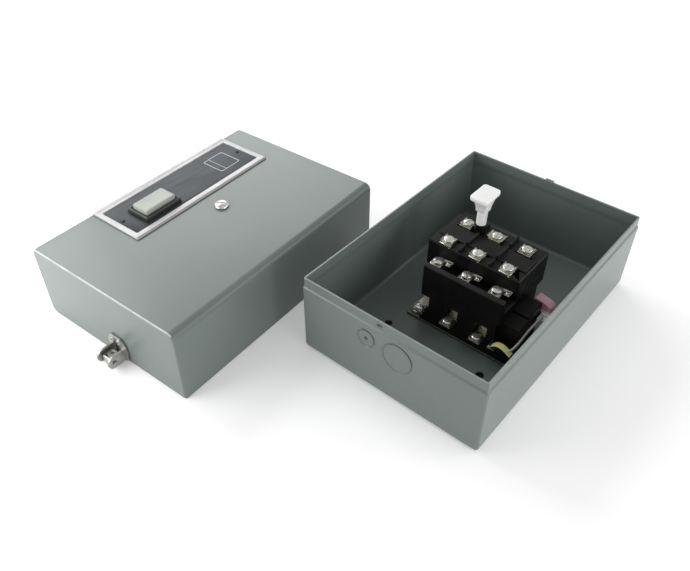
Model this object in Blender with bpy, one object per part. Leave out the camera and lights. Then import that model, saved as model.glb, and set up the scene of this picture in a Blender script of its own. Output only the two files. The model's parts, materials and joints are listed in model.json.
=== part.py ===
"""Magnetic motor starter in a wall-mounting sheet-steel enclosure, with its cover lifted off.

Frame: metres, origin at the middle of the enclosure's back face, +Z out of the
enclosure's open front, +Y towards its top end wall, +X to the right. The cover
lies face up on the same surface, to the left of the enclosure.
Lengths below are in millimetres until MM turns them into metres.
"""
import math

import bmesh
import bpy
from mathutils import Matrix, Vector

MM = 0.001
GAP = 0.3  # left between pieces that touch

# Enclosure: two drawn halves of the same width and length
WIDTH = 172.0
LENGTH = 249.5
SHEET = 1.5
BASE_DEPTH = 76.9
COVER_DEPTH = 70.7
LIP_DEPTH = 10.2  # inward step round the base that the cover slides over
LIP_STEP = 1.7
FLOOR_BEND = 5.0
WALL_CORNER = 3.0
COVER_SIDE_BEND = 6.5
COVER_END_BEND = 1.4
KNOCKOUT_RADIUS = 13.0
KNOCKOUT_AT = (9.7, 50.3)  # x, z on each end wall
DIMPLE_RADIUS = 7.5
DIMPLE_AT = (-20.0, 53.0)
MOUNTING_HOLES = ((-47.0, -58.0), (47.0, -58.0), (0.0, 96.0))
MOUNTING_HOLE_RADIUS = 3.6

# The cover's place while it lies beside the enclosure
COVER_CENTRE = (-210.5, -108.5)
COVER_TURN = math.radians(2.95)

# Starter: three poles side by side, stacked from the enclosure's back
POLE_PITCH = 28.6
MIDDLE_POLE_X = 1.6
POLE_X = tuple(MIDDLE_POLE_X + POLE_PITCH * step for step in (-1, 0, 1))
BRIDGE_Y = 9.75  # middle of each contact chamber
PLATE_TOP = 4.0
PLATE_SCREWS = ((-36.4, -31.0), (38.0, 42.5))
BLOCK_BOTTOM = 40.0
BLOCK_TOP = 70.0
BLOCK_X = (-43.0, 45.0)
BLOCK_Y = (-12.0, 37.0)
CHAMBER_HALF_X = 8.5
CHAMBER_Y = (-1.5, 21.0)
LEDGE_Z = 55.0  # floor that each fixed contact lies on
STRAP = 1.5  # terminal strap thickness
STRAP_HALF_X = 5.6
CONTACT_RADIUS = 1.8
CONTACT_SPREAD = 6.2  # from the middle of a chamber to each contact button
CONTACT_HEIGHT = 0.7
LINE_SCREW_Y = 25.2
LOAD_SCREW_Y = -5.2
HEATER_SCREW_Y = -18.8
HEATER_TAB_Z = 55.6
HEATER_TAB_END = -24.2
SCREW_HOLE_RADIUS = 2.2
MAGNET_X = 5.5
MAGNET_HALF_X = 18.5
MAGNET_LEG = 6.0  # width of the outer legs, and depth of the back bar
CENTRE_LEG_HALF = 5.0
MAGNET_Y = (0.75, 18.75)
YOKE_BOTTOM = 7.0
POLE_FACE = 30.0
PULL_IN = 4.0  # gap between armature and yoke, and at the contacts
OVERLOAD_X = (-30.0, 46.0)
OVERLOAD_Y = (-37.0, -12.6)
OVERLOAD_TOP = 51.0
OVERLOAD_RIM = 64.0
MOTOR_TERMINAL_TOP = 20.6
MOTOR_SCREW_Y = -41.5
SIDE_STRIP_TOP = 20.8

# Reset rod and the lever under it
ROD_AT = (-15.4, 25.4)
ROD_TOP = 109.3
ROD_STROKE = 3.0
LEVER_PIVOT = (-16.0, 12.5)  # y, z
LEVER_THICK = 3.0

# Control lead along the right wall: radius and the points it passes through
WIRE_RADIUS = 1.2
WIRE_ROUTE = ((63.4, 17.0, 22.0), (66.2, 16.2, 22.6), (67.4, 10.0, 26.0), (67.4, 0.0, 27.5),
              (67.4, -12.0, 27.5), (67.4, -24.0, 26.0), (66.2, -32.4, 22.6), (63.4, -33.4, 22.0))
WIRE_STEPS = 5  # straight pieces between two of those points

# Nameplate, button and screw on the cover, from the cover's middle
TRIM_X = (-82.3, -21.7)
TRIM_Y = (-64.0, 98.4)
TRIM_BORDER = (8.4, 7.2, 5.6)  # left, right, ends
BUTTON_AT = (-46.0, -22.7)
BUTTON_SIZE = (18.6, 33.6)
BUTTON_TOP = 79.9
BUTTON_STROKE = 4.0
COVER_SCREW_AT = (-1.0, 15.2)
HASP_X = 9.5
HASP_PIVOT = (-12.5, 8.6)  # out from the end wall, up from the cover's edge
EAR_RADIUS = 6.0


def clear_scene():
    for thing in list(bpy.data.objects):
        bpy.data.objects.remove(thing)


def material(name, colour, roughness, metallic=0.0):
    """A plain painted, moulded or metal finish."""
    mat = bpy.data.materials.new(name)
    mat.use_nodes = True
    shader = mat.node_tree.nodes["Principled BSDF"]
    shader.inputs["Base Color"].default_value = (*colour, 1.0)
    shader.inputs["Roughness"].default_value = roughness
    shader.inputs["Metallic"].default_value = metallic
    return mat


def finish(name, bm, mat, parent=None, origin=(0.0, 0.0, 0.0)):
    """Turn a bmesh drawn in millimetres into an object whose origin is at origin."""
    bmesh.ops.translate(bm, vec=-Vector(origin), verts=bm.verts)
    bmesh.ops.scale(bm, vec=(MM, MM, MM), verts=bm.verts)
    bmesh.ops.recalc_face_normals(bm, faces=bm.faces)
    mesh = bpy.data.meshes.new(name)
    bm.to_mesh(mesh)
    bm.free()
    mesh.shade_smooth()
    mesh.set_sharp_from_angle(angle=math.radians(35))
    if mat is not None:
        mesh.materials.append(mat)
    thing = bpy.data.objects.new(name, mesh)
    bpy.context.scene.collection.objects.link(thing)
    thing.location = Vector(origin) * MM
    thing.parent = parent
    return thing


def tool(name, bm, parent=None):
    """A shape that only cuts or joins other shapes."""
    thing = finish(name, bm, None, parent)
    thing.hide_render = True
    thing.display_type = "WIRE"
    return thing


def combine(thing, bm, operation):
    """Cut bm out of thing, or join bm to it."""
    other = tool(f"tool_{thing.name}_{len(thing.modifiers)}", bm, thing.parent)
    step = thing.modifiers.new(operation.lower(), "BOOLEAN")
    step.operation = operation
    step.solver = "EXACT"
    step.object = other


def cut(thing, bm):
    combine(thing, bm, "DIFFERENCE")


def join(thing, bm):
    combine(thing, bm, "UNION")


def block(x, y, z, bevel=0.0, segments=1):
    """A box between pairs of limits, its edges bevelled all round if asked."""
    bm = bmesh.new()
    bmesh.ops.create_cube(bm, size=1.0)
    size = (x[1] - x[0], y[1] - y[0], z[1] - z[0])
    bmesh.ops.scale(bm, vec=size, verts=bm.verts)
    middle = Vector(((x[0] + x[1]) / 2, (y[0] + y[1]) / 2, (z[0] + z[1]) / 2))
    bmesh.ops.translate(bm, vec=middle, verts=bm.verts)
    if bevel:
        bmesh.ops.bevel(bm, geom=bm.edges[:], offset=bevel, segments=segments,
                        affect="EDGES", profile=0.5)
    return bm


def grown(limits, more):
    """A pair of limits, each moved out by more."""
    return limits[0] - more, limits[1] + more


def around(at, size, z, bevel=0.0, segments=1):
    """A box of a given x, y size centred on at, between two heights."""
    x = (at[0] - size[0] / 2, at[0] + size[0] / 2)
    y = (at[1] - size[1] / 2, at[1] + size[1] / 2)
    return block(x, y, z, bevel, segments)


def turned(profile, sides, at=(0.0, 0.0, 0.0), axis="Z"):
    """A solid of revolution from (radius, height) points, lowest first, along an axis."""
    bm = bmesh.new()
    rings = []
    for radius, height in profile:
        rings.append([
            bm.verts.new((radius * math.cos(2 * math.pi * k / sides),
                          radius * math.sin(2 * math.pi * k / sides), height))
            for k in range(sides)])
    for low, high in zip(rings, rings[1:]):
        for k in range(sides):
            bm.faces.new((low[k], low[(k + 1) % sides], high[(k + 1) % sides], high[k]))
    bm.faces.new(rings[0][::-1])
    bm.faces.new(rings[-1])
    if axis == "Y":
        bm.transform(Matrix.Rotation(math.radians(90), 4, "X"))
    if axis == "X":
        bm.transform(Matrix.Rotation(math.radians(90), 4, "Y"))
    bm.transform(Matrix.Translation(at))
    return bm


def rod(radius, low, high, at, sides=16, axis="Z"):
    return turned(((radius, low), (radius, high)), sides, at, axis)


def washer(inner, outer, low, high, at, sides=32, axis="Z"):
    """A flat ring."""
    bm = bmesh.new()
    loops = []
    for radius, height in ((outer, low), (outer, high), (inner, high), (inner, low)):
        loops.append([
            bm.verts.new((radius * math.cos(2 * math.pi * k / sides),
                          radius * math.sin(2 * math.pi * k / sides), height))
            for k in range(sides)])
    for near, far in zip(loops, loops[1:] + loops[:1]):
        for k in range(sides):
            bm.faces.new((near[k], near[(k + 1) % sides], far[(k + 1) % sides], far[k]))
    if axis == "Y":
        bm.transform(Matrix.Rotation(math.radians(90), 4, "X"))
    bm.transform(Matrix.Translation(at))
    return bm


def extruded(outline, low, high, plane="XZ"):
    """A straight prism: outline points in one plane, pulled between two limits."""
    bm = bmesh.new()
    place = {
        "XZ": lambda a, b, c: (a, c, b),
        "YZ": lambda a, b, c: (c, a, b),
        "XY": lambda a, b, c: (a, b, c),
    }[plane]
    near = [bm.verts.new(place(a, b, low)) for a, b in outline]
    far = [bm.verts.new(place(a, b, high)) for a, b in outline]
    count = len(outline)
    for k in range(count):
        bm.faces.new((near[k], near[(k + 1) % count], far[(k + 1) % count], far[k]))
    bm.faces.new(near[::-1])
    bm.faces.new(far)
    return bm


def coil_spring(radius, wire, turns, low, high, at, per_turn=10, sides=5):
    """A compression spring: a round wire wound into a helix."""
    bm = bmesh.new()
    steps = int(turns * per_turn)
    rise = (high - low - 2 * wire) / steps
    slope = math.atan2(rise * per_turn, 2 * math.pi * radius)
    rings = []
    for step in range(steps + 1):
        turn = 2 * math.pi * step / per_turn
        out = Vector((math.cos(turn), math.sin(turn), 0.0))
        along = Vector((-math.sin(turn) * math.cos(slope),
                        math.cos(turn) * math.cos(slope), math.sin(slope)))
        lift = along.cross(out).normalized() * -1
        middle = out * radius + Vector((at[0], at[1], low + wire + rise * step))
        rings.append([
            bm.verts.new(middle + wire * (out * math.cos(2 * math.pi * k / sides)
                                          + lift * math.sin(2 * math.pi * k / sides)))
            for k in range(sides)])
    for near, far in zip(rings, rings[1:]):
        for k in range(sides):
            bm.faces.new((near[k], near[(k + 1) % sides], far[(k + 1) % sides], far[k]))
    bm.faces.new(rings[0][::-1])
    bm.faces.new(rings[-1])
    return bm


def rounded_ring(bm, z, inset, corner, steps=3):
    """One level of a box wall: a rounded rectangle set in from the outer size."""
    half_x = WIDTH / 2 - inset
    half_y = LENGTH / 2 - inset
    points = []
    for quarter in range(4):
        side_x = 1 if quarter in (0, 3) else -1
        side_y = 1 if quarter in (0, 1) else -1
        for step in range(steps + 1):
            turn = math.radians(90 * quarter + 90 * step / steps)
            points.append(bm.verts.new((side_x * (half_x - corner) + corner * math.cos(turn),
                                        side_y * (half_y - corner) + corner * math.sin(turn), z)))
    return points


def drawn_tray(levels):
    """An open tray from (z, inset) levels: up the outside, over the rim, down the inside."""
    bm = bmesh.new()
    rings = [rounded_ring(bm, z, inset, max(WALL_CORNER - inset, 0.8)) for z, inset in levels]
    count = len(rings[0])
    for low, high in zip(rings, rings[1:]):
        for k in range(count):
            bm.faces.new((low[k], low[(k + 1) % count], high[(k + 1) % count], high[k]))
    bm.faces.new(rings[0][::-1])
    bm.faces.new(rings[-1])
    return bm


def bend_levels(radius, inset, z, steps=3):
    """Levels of a quarter bend that rises from a flat floor to an upright wall."""
    turns = [math.radians(90 * step / steps) for step in range(steps + 1)]
    return [(z + radius * (1 - math.cos(turn)), inset + radius * (1 - math.sin(turn)))
            for turn in turns]


# --- Enclosure base ---------------------------------------------------------------------

def enclosure_base(paint):
    shoulder = BASE_DEPTH - LIP_DEPTH
    outside = bend_levels(FLOOR_BEND, 0.0, 0.0)
    outside += [(shoulder, 0.0), (shoulder + LIP_STEP, LIP_STEP), (BASE_DEPTH, LIP_STEP)]
    inside = bend_levels(FLOOR_BEND - SHEET, SHEET, SHEET)
    inside += [(shoulder - 0.7, SHEET), (shoulder - 0.7 + LIP_STEP, LIP_STEP + SHEET),
               (BASE_DEPTH, LIP_STEP + SHEET)]
    base = finish("enclosure_base", drawn_tray(outside + inside[::-1]), paint)
    end = LENGTH / 2
    groove = 0.7
    for side in (-1, 1):
        face = (KNOCKOUT_AT[0], side * end, KNOCKOUT_AT[1])
        cut(base, washer(KNOCKOUT_RADIUS - 0.5, KNOCKOUT_RADIUS + 0.5, -groove, groove, face,
                         axis="Y"))
    face = (DIMPLE_AT[0], -end, DIMPLE_AT[1])
    cut(base, washer(DIMPLE_RADIUS - 0.4, DIMPLE_RADIUS + 0.4, -0.6, 0.6, face, 24, "Y"))
    cut(base, rod(1.6, -0.6, 0.6, face, 12, "Y"))
    for x, y in MOUNTING_HOLES:
        cut(base, rod(MOUNTING_HOLE_RADIUS, -1.0, SHEET + 1.0, (x, y, 0.0)))
    key = (MOUNTING_HOLES[2][0], MOUNTING_HOLES[2][1] + 6.0)
    cut(base, around(key, (4.4, 12.0), (-1.0, SHEET + 1.0)))
    slot_y = -end + LIP_STEP + SHEET / 2
    cut(base, around((-8.5, slot_y), (5.0, 4.0), (71.0, 74.0)))
    hook_y = end - LIP_STEP - SHEET / 2
    join(base, around((-2.0, hook_y), (8.0, SHEET - 0.2), (BASE_DEPTH - 2.0, BASE_DEPTH + 1.6)))

# --- Starter: plate, magnet, contacts -----------------------------------------------------

def slotted_screw(name, at, mat, head=4.6, height=2.6, shank=1.9, depth=7.0, turn=0.0):
    """A slotted pan-head screw that stands at a point of its seat, head outwards."""
    profile = ((shank, -depth), (shank, 0.0), (head, 0.0), (head, height * 0.6),
               (head * 0.78, height))
    bm = turned(profile, 14)
    slot = block((-head - 1, head + 1), (-0.5, 0.5), (height * 0.45, height + 1))
    slot.transform(Matrix.Rotation(turn, 4, "Z"))
    for shape in (bm, slot):
        shape.transform(Matrix.Translation(at))
    screw = finish(name, bm, mat)
    cut(screw, slot)


def mounting_plate(steel):
    plate = finish("mounting_plate", block((-42, 65), (-38, 48), (SHEET + GAP, PLATE_TOP), 0.4),
                   steel)
    for x, y in PLATE_SCREWS:
        cut(plate, rod(2.4, 0.0, 6.0, (x, y, 0.0), 12))


def magnet_housing(phenolic):
    low, high = PLATE_TOP + GAP, BLOCK_BOTTOM - GAP
    housing = finish("magnet_housing", block((-38, 42), (-12 + GAP, 36), (low, high), 0.8),
                     phenolic)
    join(housing, block((40, 59), (-12 + GAP, 11.5), (low, high), 0.8))
    cut(housing, block((-35, 39), (-9, 33), (low + 2.2, high + 2)))
    x = ROD_AT[0]
    cut(housing, block((x - 3, x + 3), (-14, -7), (9.0, 18.0)))
    cut(housing, block((36, 44), (16.0, 24.0), (18.0, 26.0)))


def magnet_yoke(steel):
    """Laminated E core: a back bar and three legs."""
    back = YOKE_BOTTOM + MAGNET_LEG
    left, right = MAGNET_X - MAGNET_HALF_X, MAGNET_X + MAGNET_HALF_X
    core = (MAGNET_X - CENTRE_LEG_HALF, MAGNET_X + CENTRE_LEG_HALF)
    outline = ((left, YOKE_BOTTOM), (right, YOKE_BOTTOM), (right, POLE_FACE),
               (right - MAGNET_LEG, POLE_FACE), (right - MAGNET_LEG, back), (core[1], back),
               (core[1], POLE_FACE), (core[0], POLE_FACE), (core[0], back),
               (left + MAGNET_LEG, back), (left + MAGNET_LEG, POLE_FACE), (left, POLE_FACE))
    yoke = finish("magnet_yoke", extruded(outline, *MAGNET_Y), steel)
    for slot in (left + 3.0, right - 4.4):
        cut(yoke, block((slot, slot + 1.4), (-2, 22), (27.4, POLE_FACE + 1)))


def shading_rings(copper):
    """A copper loop round the outer half of each outer pole face."""
    for side, name in ((-1, "shading_ring_left"), (1, "shading_ring_right")):
        outer = MAGNET_X + side * MAGNET_HALF_X
        slot = MAGNET_X + side * 14.8
        x = sorted((outer + side * (GAP + 1.0), slot - side * 0.5))
        y = (MAGNET_Y[0] - 1.3, MAGNET_Y[1] + 1.3)
        ring = finish(name, block(x, y, (27.7, 29.4)), copper)
        hole_x = sorted((outer + side * GAP, slot + side * 0.5))
        cut(ring, block(hole_x, (y[0] + 1.0, y[1] - 1.0), (27.0, 30.0)))


def coil(bobbin_mat, winding_mat):
    """Spool round the centre leg, with its winding between the flanges."""
    core_x = grown((MAGNET_X - CENTRE_LEG_HALF, MAGNET_X + CENTRE_LEG_HALF), GAP)
    core_y = grown(MAGNET_Y, GAP)
    tube_x, tube_y = grown(core_x, 1.0), grown(core_y, 1.0)
    wide_x = grown(core_x, 6.7)
    wide_y = (core_y[0] - 7.2, core_y[1] + 4.6)
    low, high, flange = 13.3, 29.4, 1.4
    room = (low + flange, high - flange)
    bobbin = finish("coil_bobbin", block(tube_x, tube_y, (low, high)), bobbin_mat)
    join(bobbin, block(wide_x, wide_y, (low, room[0])))
    join(bobbin, block(wide_x, wide_y, (room[1], high)))
    cut(bobbin, block(core_x, core_y, (0, 40)))
    bm = block(grown(wide_x, -0.8), grown(wide_y, -0.8), grown(room, -GAP))
    upright = [edge for edge in bm.edges
               if abs(edge.verts[0].co.z - edge.verts[1].co.z) > 1.0]
    bmesh.ops.bevel(bm, geom=upright, offset=3.0, segments=3, affect="EDGES", profile=0.5)
    winding = finish("coil_winding", bm, winding_mat)
    cut(winding, block(grown(tube_x, GAP), grown(tube_y, GAP), (0, 40)))


def contact_block(phenolic):
    """Upper moulding: three contact chambers over one long carrier way."""
    body = finish("contact_block", block(BLOCK_X, BLOCK_Y, (BLOCK_BOTTOM, BLOCK_TOP), 0.8),
                  phenolic)
    cut(body, block((-39.5, 42.0), (3.5, 16.0), (BLOCK_BOTTOM - 1, 57.0)))
    for x in POLE_X:
        cut(body, block((x - CHAMBER_HALF_X, x + CHAMBER_HALF_X), CHAMBER_Y,
                        (LEDGE_Z, BLOCK_TOP + 1)))
        for y in (LOAD_SCREW_Y, LINE_SCREW_Y):
            cut(body, rod(2.3, BLOCK_TOP - 9, BLOCK_TOP + 1, (x, y, 0.0), 12))
    cut(body, block((-40.3, 43.3), (0.5, 19.0), (66.0, BLOCK_TOP + 1)))
    join(body, rod(5.7, BLOCK_TOP - 1, 78.5, (*ROD_AT, 0.0), 20))
    cut(body, rod(4.75, BLOCK_BOTTOM - 1, 80.0, (*ROD_AT, 0.0), 16))


def arc_cover(phenolic):
    """Lid over the contact chambers, with a raised rib between poles."""
    lid = finish("arc_cover", block((-40.0, 43.0), (0.8, 18.7), (66.3, 71.0), 0.5), phenolic)
    for x in (POLE_X[0] + POLE_PITCH / 2, POLE_X[1] + POLE_PITCH / 2):
        join(lid, block((x - 1.2, x + 1.2), (0.8, 18.7), (70.0, 74.0), 0.3))


def terminal_outline(side):
    """Side view (y, z) of a stationary contact: foot, riser and top plate."""
    ledge, top = LEDGE_Z + GAP, BLOCK_TOP + GAP
    if side > 0:
        foot = BRIDGE_Y + 4.05
        riser = CHAMBER_Y[1] - GAP
        end = LINE_SCREW_Y + 6.0
        return ((foot, ledge), (riser, ledge), (riser, top), (end, top), (end, top + STRAP),
                (riser - STRAP, top + STRAP), (riser - STRAP, ledge + STRAP), (foot, ledge + STRAP))
    foot = BRIDGE_Y - 4.05
    riser = CHAMBER_Y[0] + GAP
    drop = BLOCK_Y[0] - GAP
    tab = HEATER_TAB_Z
    return ((foot, ledge), (foot, ledge + STRAP), (riser + STRAP, ledge + STRAP),
            (riser + STRAP, top + STRAP), (drop - STRAP, top + STRAP), (drop - STRAP, tab + STRAP),
            (HEATER_TAB_END, tab + STRAP), (HEATER_TAB_END, tab), (drop, tab), (drop, top),
            (riser, top), (riser, ledge))


def stationary_contacts(metal, screw_metal):
    """Line and load terminals with their contact buttons and screws, for each pole."""
    ledge, top = LEDGE_Z + GAP, BLOCK_TOP + GAP + STRAP
    for pole, x in enumerate(POLE_X, start=1):
        for side, kind, screw_y in ((1, "line", LINE_SCREW_Y), (-1, "load", LOAD_SCREW_Y)):
            bm = extruded(terminal_outline(side), x - STRAP_HALF_X, x + STRAP_HALF_X, "YZ")
            terminal = finish(f"{kind}_terminal_{pole}", bm, metal)
            join(terminal, rod(CONTACT_RADIUS, ledge + 1.0, ledge + STRAP + CONTACT_HEIGHT,
                               (x, BRIDGE_Y + side * CONTACT_SPREAD, 0.0), 12))
            cut(terminal, rod(SCREW_HOLE_RADIUS, BLOCK_TOP - 1, top + 1, (x, screw_y, 0.0), 12))
            slotted_screw(f"{kind}_screw_{pole}", (x, screw_y, top + GAP), screw_metal,
                          turn=0.4 + 0.7 * pole * side)
            if side < 0:
                cut(terminal, rod(SCREW_HOLE_RADIUS, HEATER_TAB_Z - 1, HEATER_TAB_Z + 3,
                                  (x, HEATER_SCREW_Y, 0.0), 12))
        slotted_screw(f"heater_screw_{pole}",
                      (x, HEATER_SCREW_Y, HEATER_TAB_Z + STRAP + GAP), screw_metal,
                      depth=3.6, turn=1.1 * pole)


# --- Moving magnet and contacts -----------------------------------------------------------

def armature(steel):
    """I bar that the coil pulls down on the yoke's three legs."""
    low = POLE_FACE + PULL_IN
    bm = block((MAGNET_X - MAGNET_HALF_X, MAGNET_X + MAGNET_HALF_X), MAGNET_Y,
               (low, low + MAGNET_LEG), 0.3)
    finish("armature", bm, steel)


def contact_carrier(plastic):
    """Crossbar over the armature, with a post for each moving contact."""
    seat = POLE_FACE + PULL_IN + MAGNET_LEG + GAP
    y = (BRIDGE_Y - 3.6, BRIDGE_Y + 3.6)
    carrier = finish("contact_carrier", block((-36.5, 39.0), y, (48.0, 52.0), 0.4), plastic)
    join(carrier, block((MAGNET_X - 9, MAGNET_X + 9), (y[0] - 1, y[1] + 1), (seat, 49.0)))
    for x in POLE_X:
        join(carrier, block((x - 2.4, x + 2.4), (BRIDGE_Y - 2, BRIDGE_Y + 2), (51.0, 60.6)))
        join(carrier, block((x - 1.2, x + 1.2), (BRIDGE_Y - 1.2, BRIDGE_Y + 1.2), (60.0, 65.0)))


def moving_contacts(metal):
    """Bridging bar of each pole, with a contact button under each end."""
    low = LEDGE_Z + GAP + STRAP + CONTACT_HEIGHT + PULL_IN
    for pole, x in enumerate(POLE_X, start=1):
        reach = CONTACT_SPREAD + 2.0
        bm = block((x - 3.2, x + 3.2), (BRIDGE_Y - reach, BRIDGE_Y + reach),
                   (low + CONTACT_HEIGHT, low + 2.0))
        bridge = finish(f"moving_contact_{pole}", bm, metal)
        for side in (-1, 1):
            join(bridge, rod(CONTACT_RADIUS, low, low + 1.2,
                             (x, BRIDGE_Y + side * CONTACT_SPREAD, 0.0), 12))
        cut(bridge, block((x - 1.5, x + 1.5), (BRIDGE_Y - 1.5, BRIDGE_Y + 1.5),
                          (low - 1, low + 4)))


def return_springs(spring_steel):
    """One spring each side of the magnet pushes the crossbar back up."""
    for name, x in (("return_spring_left", -31.0), ("return_spring_right", 34.0)):
        bm = coil_spring(2.9, 0.5, 6, 6.9, 47.7, (x, BRIDGE_Y))
        finish(name, bm, spring_steel, origin=(x, BRIDGE_Y, 6.9))


# --- Overload relay and reset ---------------------------------------------------------------

def overload_housing(phenolic):
    low = PLATE_TOP + GAP
    housing = finish("overload_housing",
                     block(OVERLOAD_X, OVERLOAD_Y, (low, OVERLOAD_TOP), 0.8), phenolic)
    rim = OVERLOAD_Y[0]
    join(housing, block(OVERLOAD_X, (rim, rim + 6.0), (OVERLOAD_TOP - 3, OVERLOAD_RIM), 0.8))
    for x in POLE_X:
        pocket = (max(x - 7.5, OVERLOAD_X[0] - 2), x + 7.5)
        cut(housing, block(pocket, (-29.0, -14.6), (26.0, OVERLOAD_RIM)))
        cut(housing, block((x - 6.0, x + 6.0), (rim - 1, -27.0), (18.4, 32.0)))
    join(housing, block((OVERLOAD_X[1] - 4, 61.0), (rim, -13.0), (low, 39.0), 0.8))
    cut(housing, block((43.5, 62.0), (rim - 1, -30.0), (19.0, 41.0)))
    x = ROD_AT[0]
    pivot_y, pivot_z = LEVER_PIVOT
    cut(housing, block((x - 3, x + 3), (-32.0, -11.0), (8.5, 24.0)))
    cut(housing, rod(1.9, -4.9, 4.9, (x, pivot_y, pivot_z), 12, "X"))


def heater_elements(alloy):
    """Ribbon heater of each pole, between its upper tab and its motor terminal."""
    y = (-22.0, -16.0)
    for pole, x in enumerate(POLE_X, start=1):
        heater = finish(f"heater_element_{pole}",
                        block((x - 4.6, x + 4.6), y, (31.0, 47.4), 0.5), alloy)
        for row in range(4):
            low = 33.5 + 3.6 * row
            slot = (x - 6.0, x + 3.0) if row % 2 else (x - 3.0, x + 6.0)
            cut(heater, block(slot, grown(y, 1.0), (low, low + 1.4)))


def motor_terminals(metal, screw_metal):
    """Terminals along the lower edge, where the motor leads fasten."""
    top, front, riser = MOTOR_TERMINAL_TOP, -46.0, -28.0
    outline = ((front, top - STRAP), (riser, top - STRAP), (riser, 30.0), (riser - STRAP, 30.0),
               (riser - STRAP, top), (front, top))
    for pole, x in enumerate(POLE_X, start=1):
        terminal = finish(f"motor_terminal_{pole}",
                          extruded(outline, x - 5.4, x + 5.4, "YZ"), metal)
        cut(terminal, rod(SCREW_HOLE_RADIUS, top - 3, top + 1, (x, MOTOR_SCREW_Y, 0.0), 12))
        slotted_screw(f"motor_screw_{pole}", (x, MOTOR_SCREW_Y, top + GAP), screw_metal, head=4.0,
                      depth=5.0, turn=0.9 * pole)


def reset_rod(white):
    """Push rod with a broad head, sliding through the contact block's collar."""
    x, y = ROD_AT
    foot = LEVER_PIVOT[1] + LEVER_THICK / 2 + GAP
    profile = ((2.0, foot), (2.0, 46.0), (4.4, 46.0), (4.4, 97.0))
    bm = turned(profile, 16, (x, y, 0.0))
    stem = finish("reset_rod", bm, white)
    join(stem, around(ROD_AT, (16.5, 24.0), (104.3, ROD_TOP), 0.8))
    taper = around(ROD_AT, (13.5, 17.0), (96.0, 105.0))
    for vert in taper.verts:
        if vert.co.z < 100.0:
            vert.co.x = x + (vert.co.x - x) * 0.7
            vert.co.y = y + (vert.co.y - y) * 0.6
    join(stem, taper)


def reset_lever(white):
    """Rocker under the rod: its far end goes down with the rod, its near end unlatches."""
    pivot_y, pivot_z = LEVER_PIVOT
    x = ROD_AT[0]
    half = LEVER_THICK / 2
    origin = (x, pivot_y, pivot_z)
    bm = block((x - 2, x + 2), (-29.5, ROD_AT[1] + 3.0), (pivot_z - half, pivot_z + half), 0.3)
    lever = finish("reset_lever", bm, white, origin=origin)
    join(lever, rod(1.5, -4.6, 4.6, origin, 12, "X"))


def side_blocks(red, white, brass):
    """The coil's terminal block and the overload contact's strip by the wall."""
    top = SIDE_STRIP_TOP
    strip = finish("contact_strip", block((44.5, 60.5), (-43.0, -31.0), (top - STRAP, top), 0.3),
                   brass)
    cut(strip, block((44.0, 46.6), (-44.0, -40.0), (top - 2.0, top + 1.0)))
    finish("coil_terminal_block", block((50.5, 63.5), (14.0, 28.0), (27.3, 41.0), 1.0), red)
    insert = finish("coil_terminal_base",
                    block((51.5, 62.5), (12.2, 26.5), (PLATE_TOP + GAP, 27.0), 0.6), white)
    join(insert, block((42.0 + GAP, 53.0), (16.0, 24.0), (18.0, 26.0)))


def control_wire(insulation):
    """Factory lead from the coil terminal to the overload contact."""
    route = [Vector(p) for p in WIRE_ROUTE]
    points = []
    spans = len(route) - 1
    for span in range(spans):
        before = route[max(span - 1, 0)]
        start, end = route[span], route[span + 1]
        after = route[min(span + 2, spans)]
        for step in range(WIRE_STEPS):
            t = step / WIRE_STEPS
            points.append(0.5 * ((2 * start) + (end - before) * t
                                 + (2 * before - 5 * start + 4 * end - after) * t ** 2
                                 + (3 * start - before - 3 * end + after) * t ** 3))
    points.append(route[-1])
    curve = bpy.data.curves.new("control_wire", "CURVE")
    curve.dimensions = "3D"
    curve.bevel_depth = WIRE_RADIUS * MM
    curve.bevel_resolution = 2
    curve.use_fill_caps = True
    spline = curve.splines.new("POLY")
    spline.points.add(len(points) - 1)
    for target, point in zip(spline.points, points):
        target.co = (*(point * MM), 1.0)
    curve.materials.append(insulation)
    wire = bpy.data.objects.new("control_wire", curve)
    bpy.context.scene.collection.objects.link(wire)


# --- Cover ----------------------------------------------------------------------------------

def bent_cover(width, length, top, side_bend, end_bend):
    """A block with the cover's bends: wide along the sides, tight along the ends."""
    bm = block((-width / 2, width / 2), (-length / 2, length / 2), (0.0, top))
    upright = [e for e in bm.edges if abs(e.verts[0].co.z - e.verts[1].co.z) > 1.0]
    bmesh.ops.bevel(bm, geom=upright, offset=end_bend, segments=2, affect="EDGES", profile=0.5)
    sides = [e for e in bm.edges
             if all(v.co.z > top - 0.01 for v in e.verts)
             and abs(e.verts[0].co.y - e.verts[1].co.y) > length / 2]
    bmesh.ops.bevel(bm, geom=sides, offset=side_bend, segments=3, affect="EDGES", profile=0.5,
                    clamp_overlap=False)
    return bm


def cover_shell(paint, parent):
    shell = finish("cover_shell",
                   bent_cover(WIDTH, LENGTH, COVER_DEPTH, COVER_SIDE_BEND, COVER_END_BEND),
                   paint, parent)
    hollow = bent_cover(WIDTH - 2 * SHEET, LENGTH - 2 * SHEET, COVER_DEPTH - SHEET,
                        COVER_SIDE_BEND - SHEET, 0.5)
    for vert in hollow.verts:
        if vert.co.z < 1.0:
            vert.co.z = -2.0
    cut(shell, hollow)
    cut(shell, rod(3.0, 60.0, 80.0, (*COVER_SCREW_AT, 0.0), 16))
    cut(shell, rod(4.4, 60.0, 80.0, (*BUTTON_AT, 0.0), 16))


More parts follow.
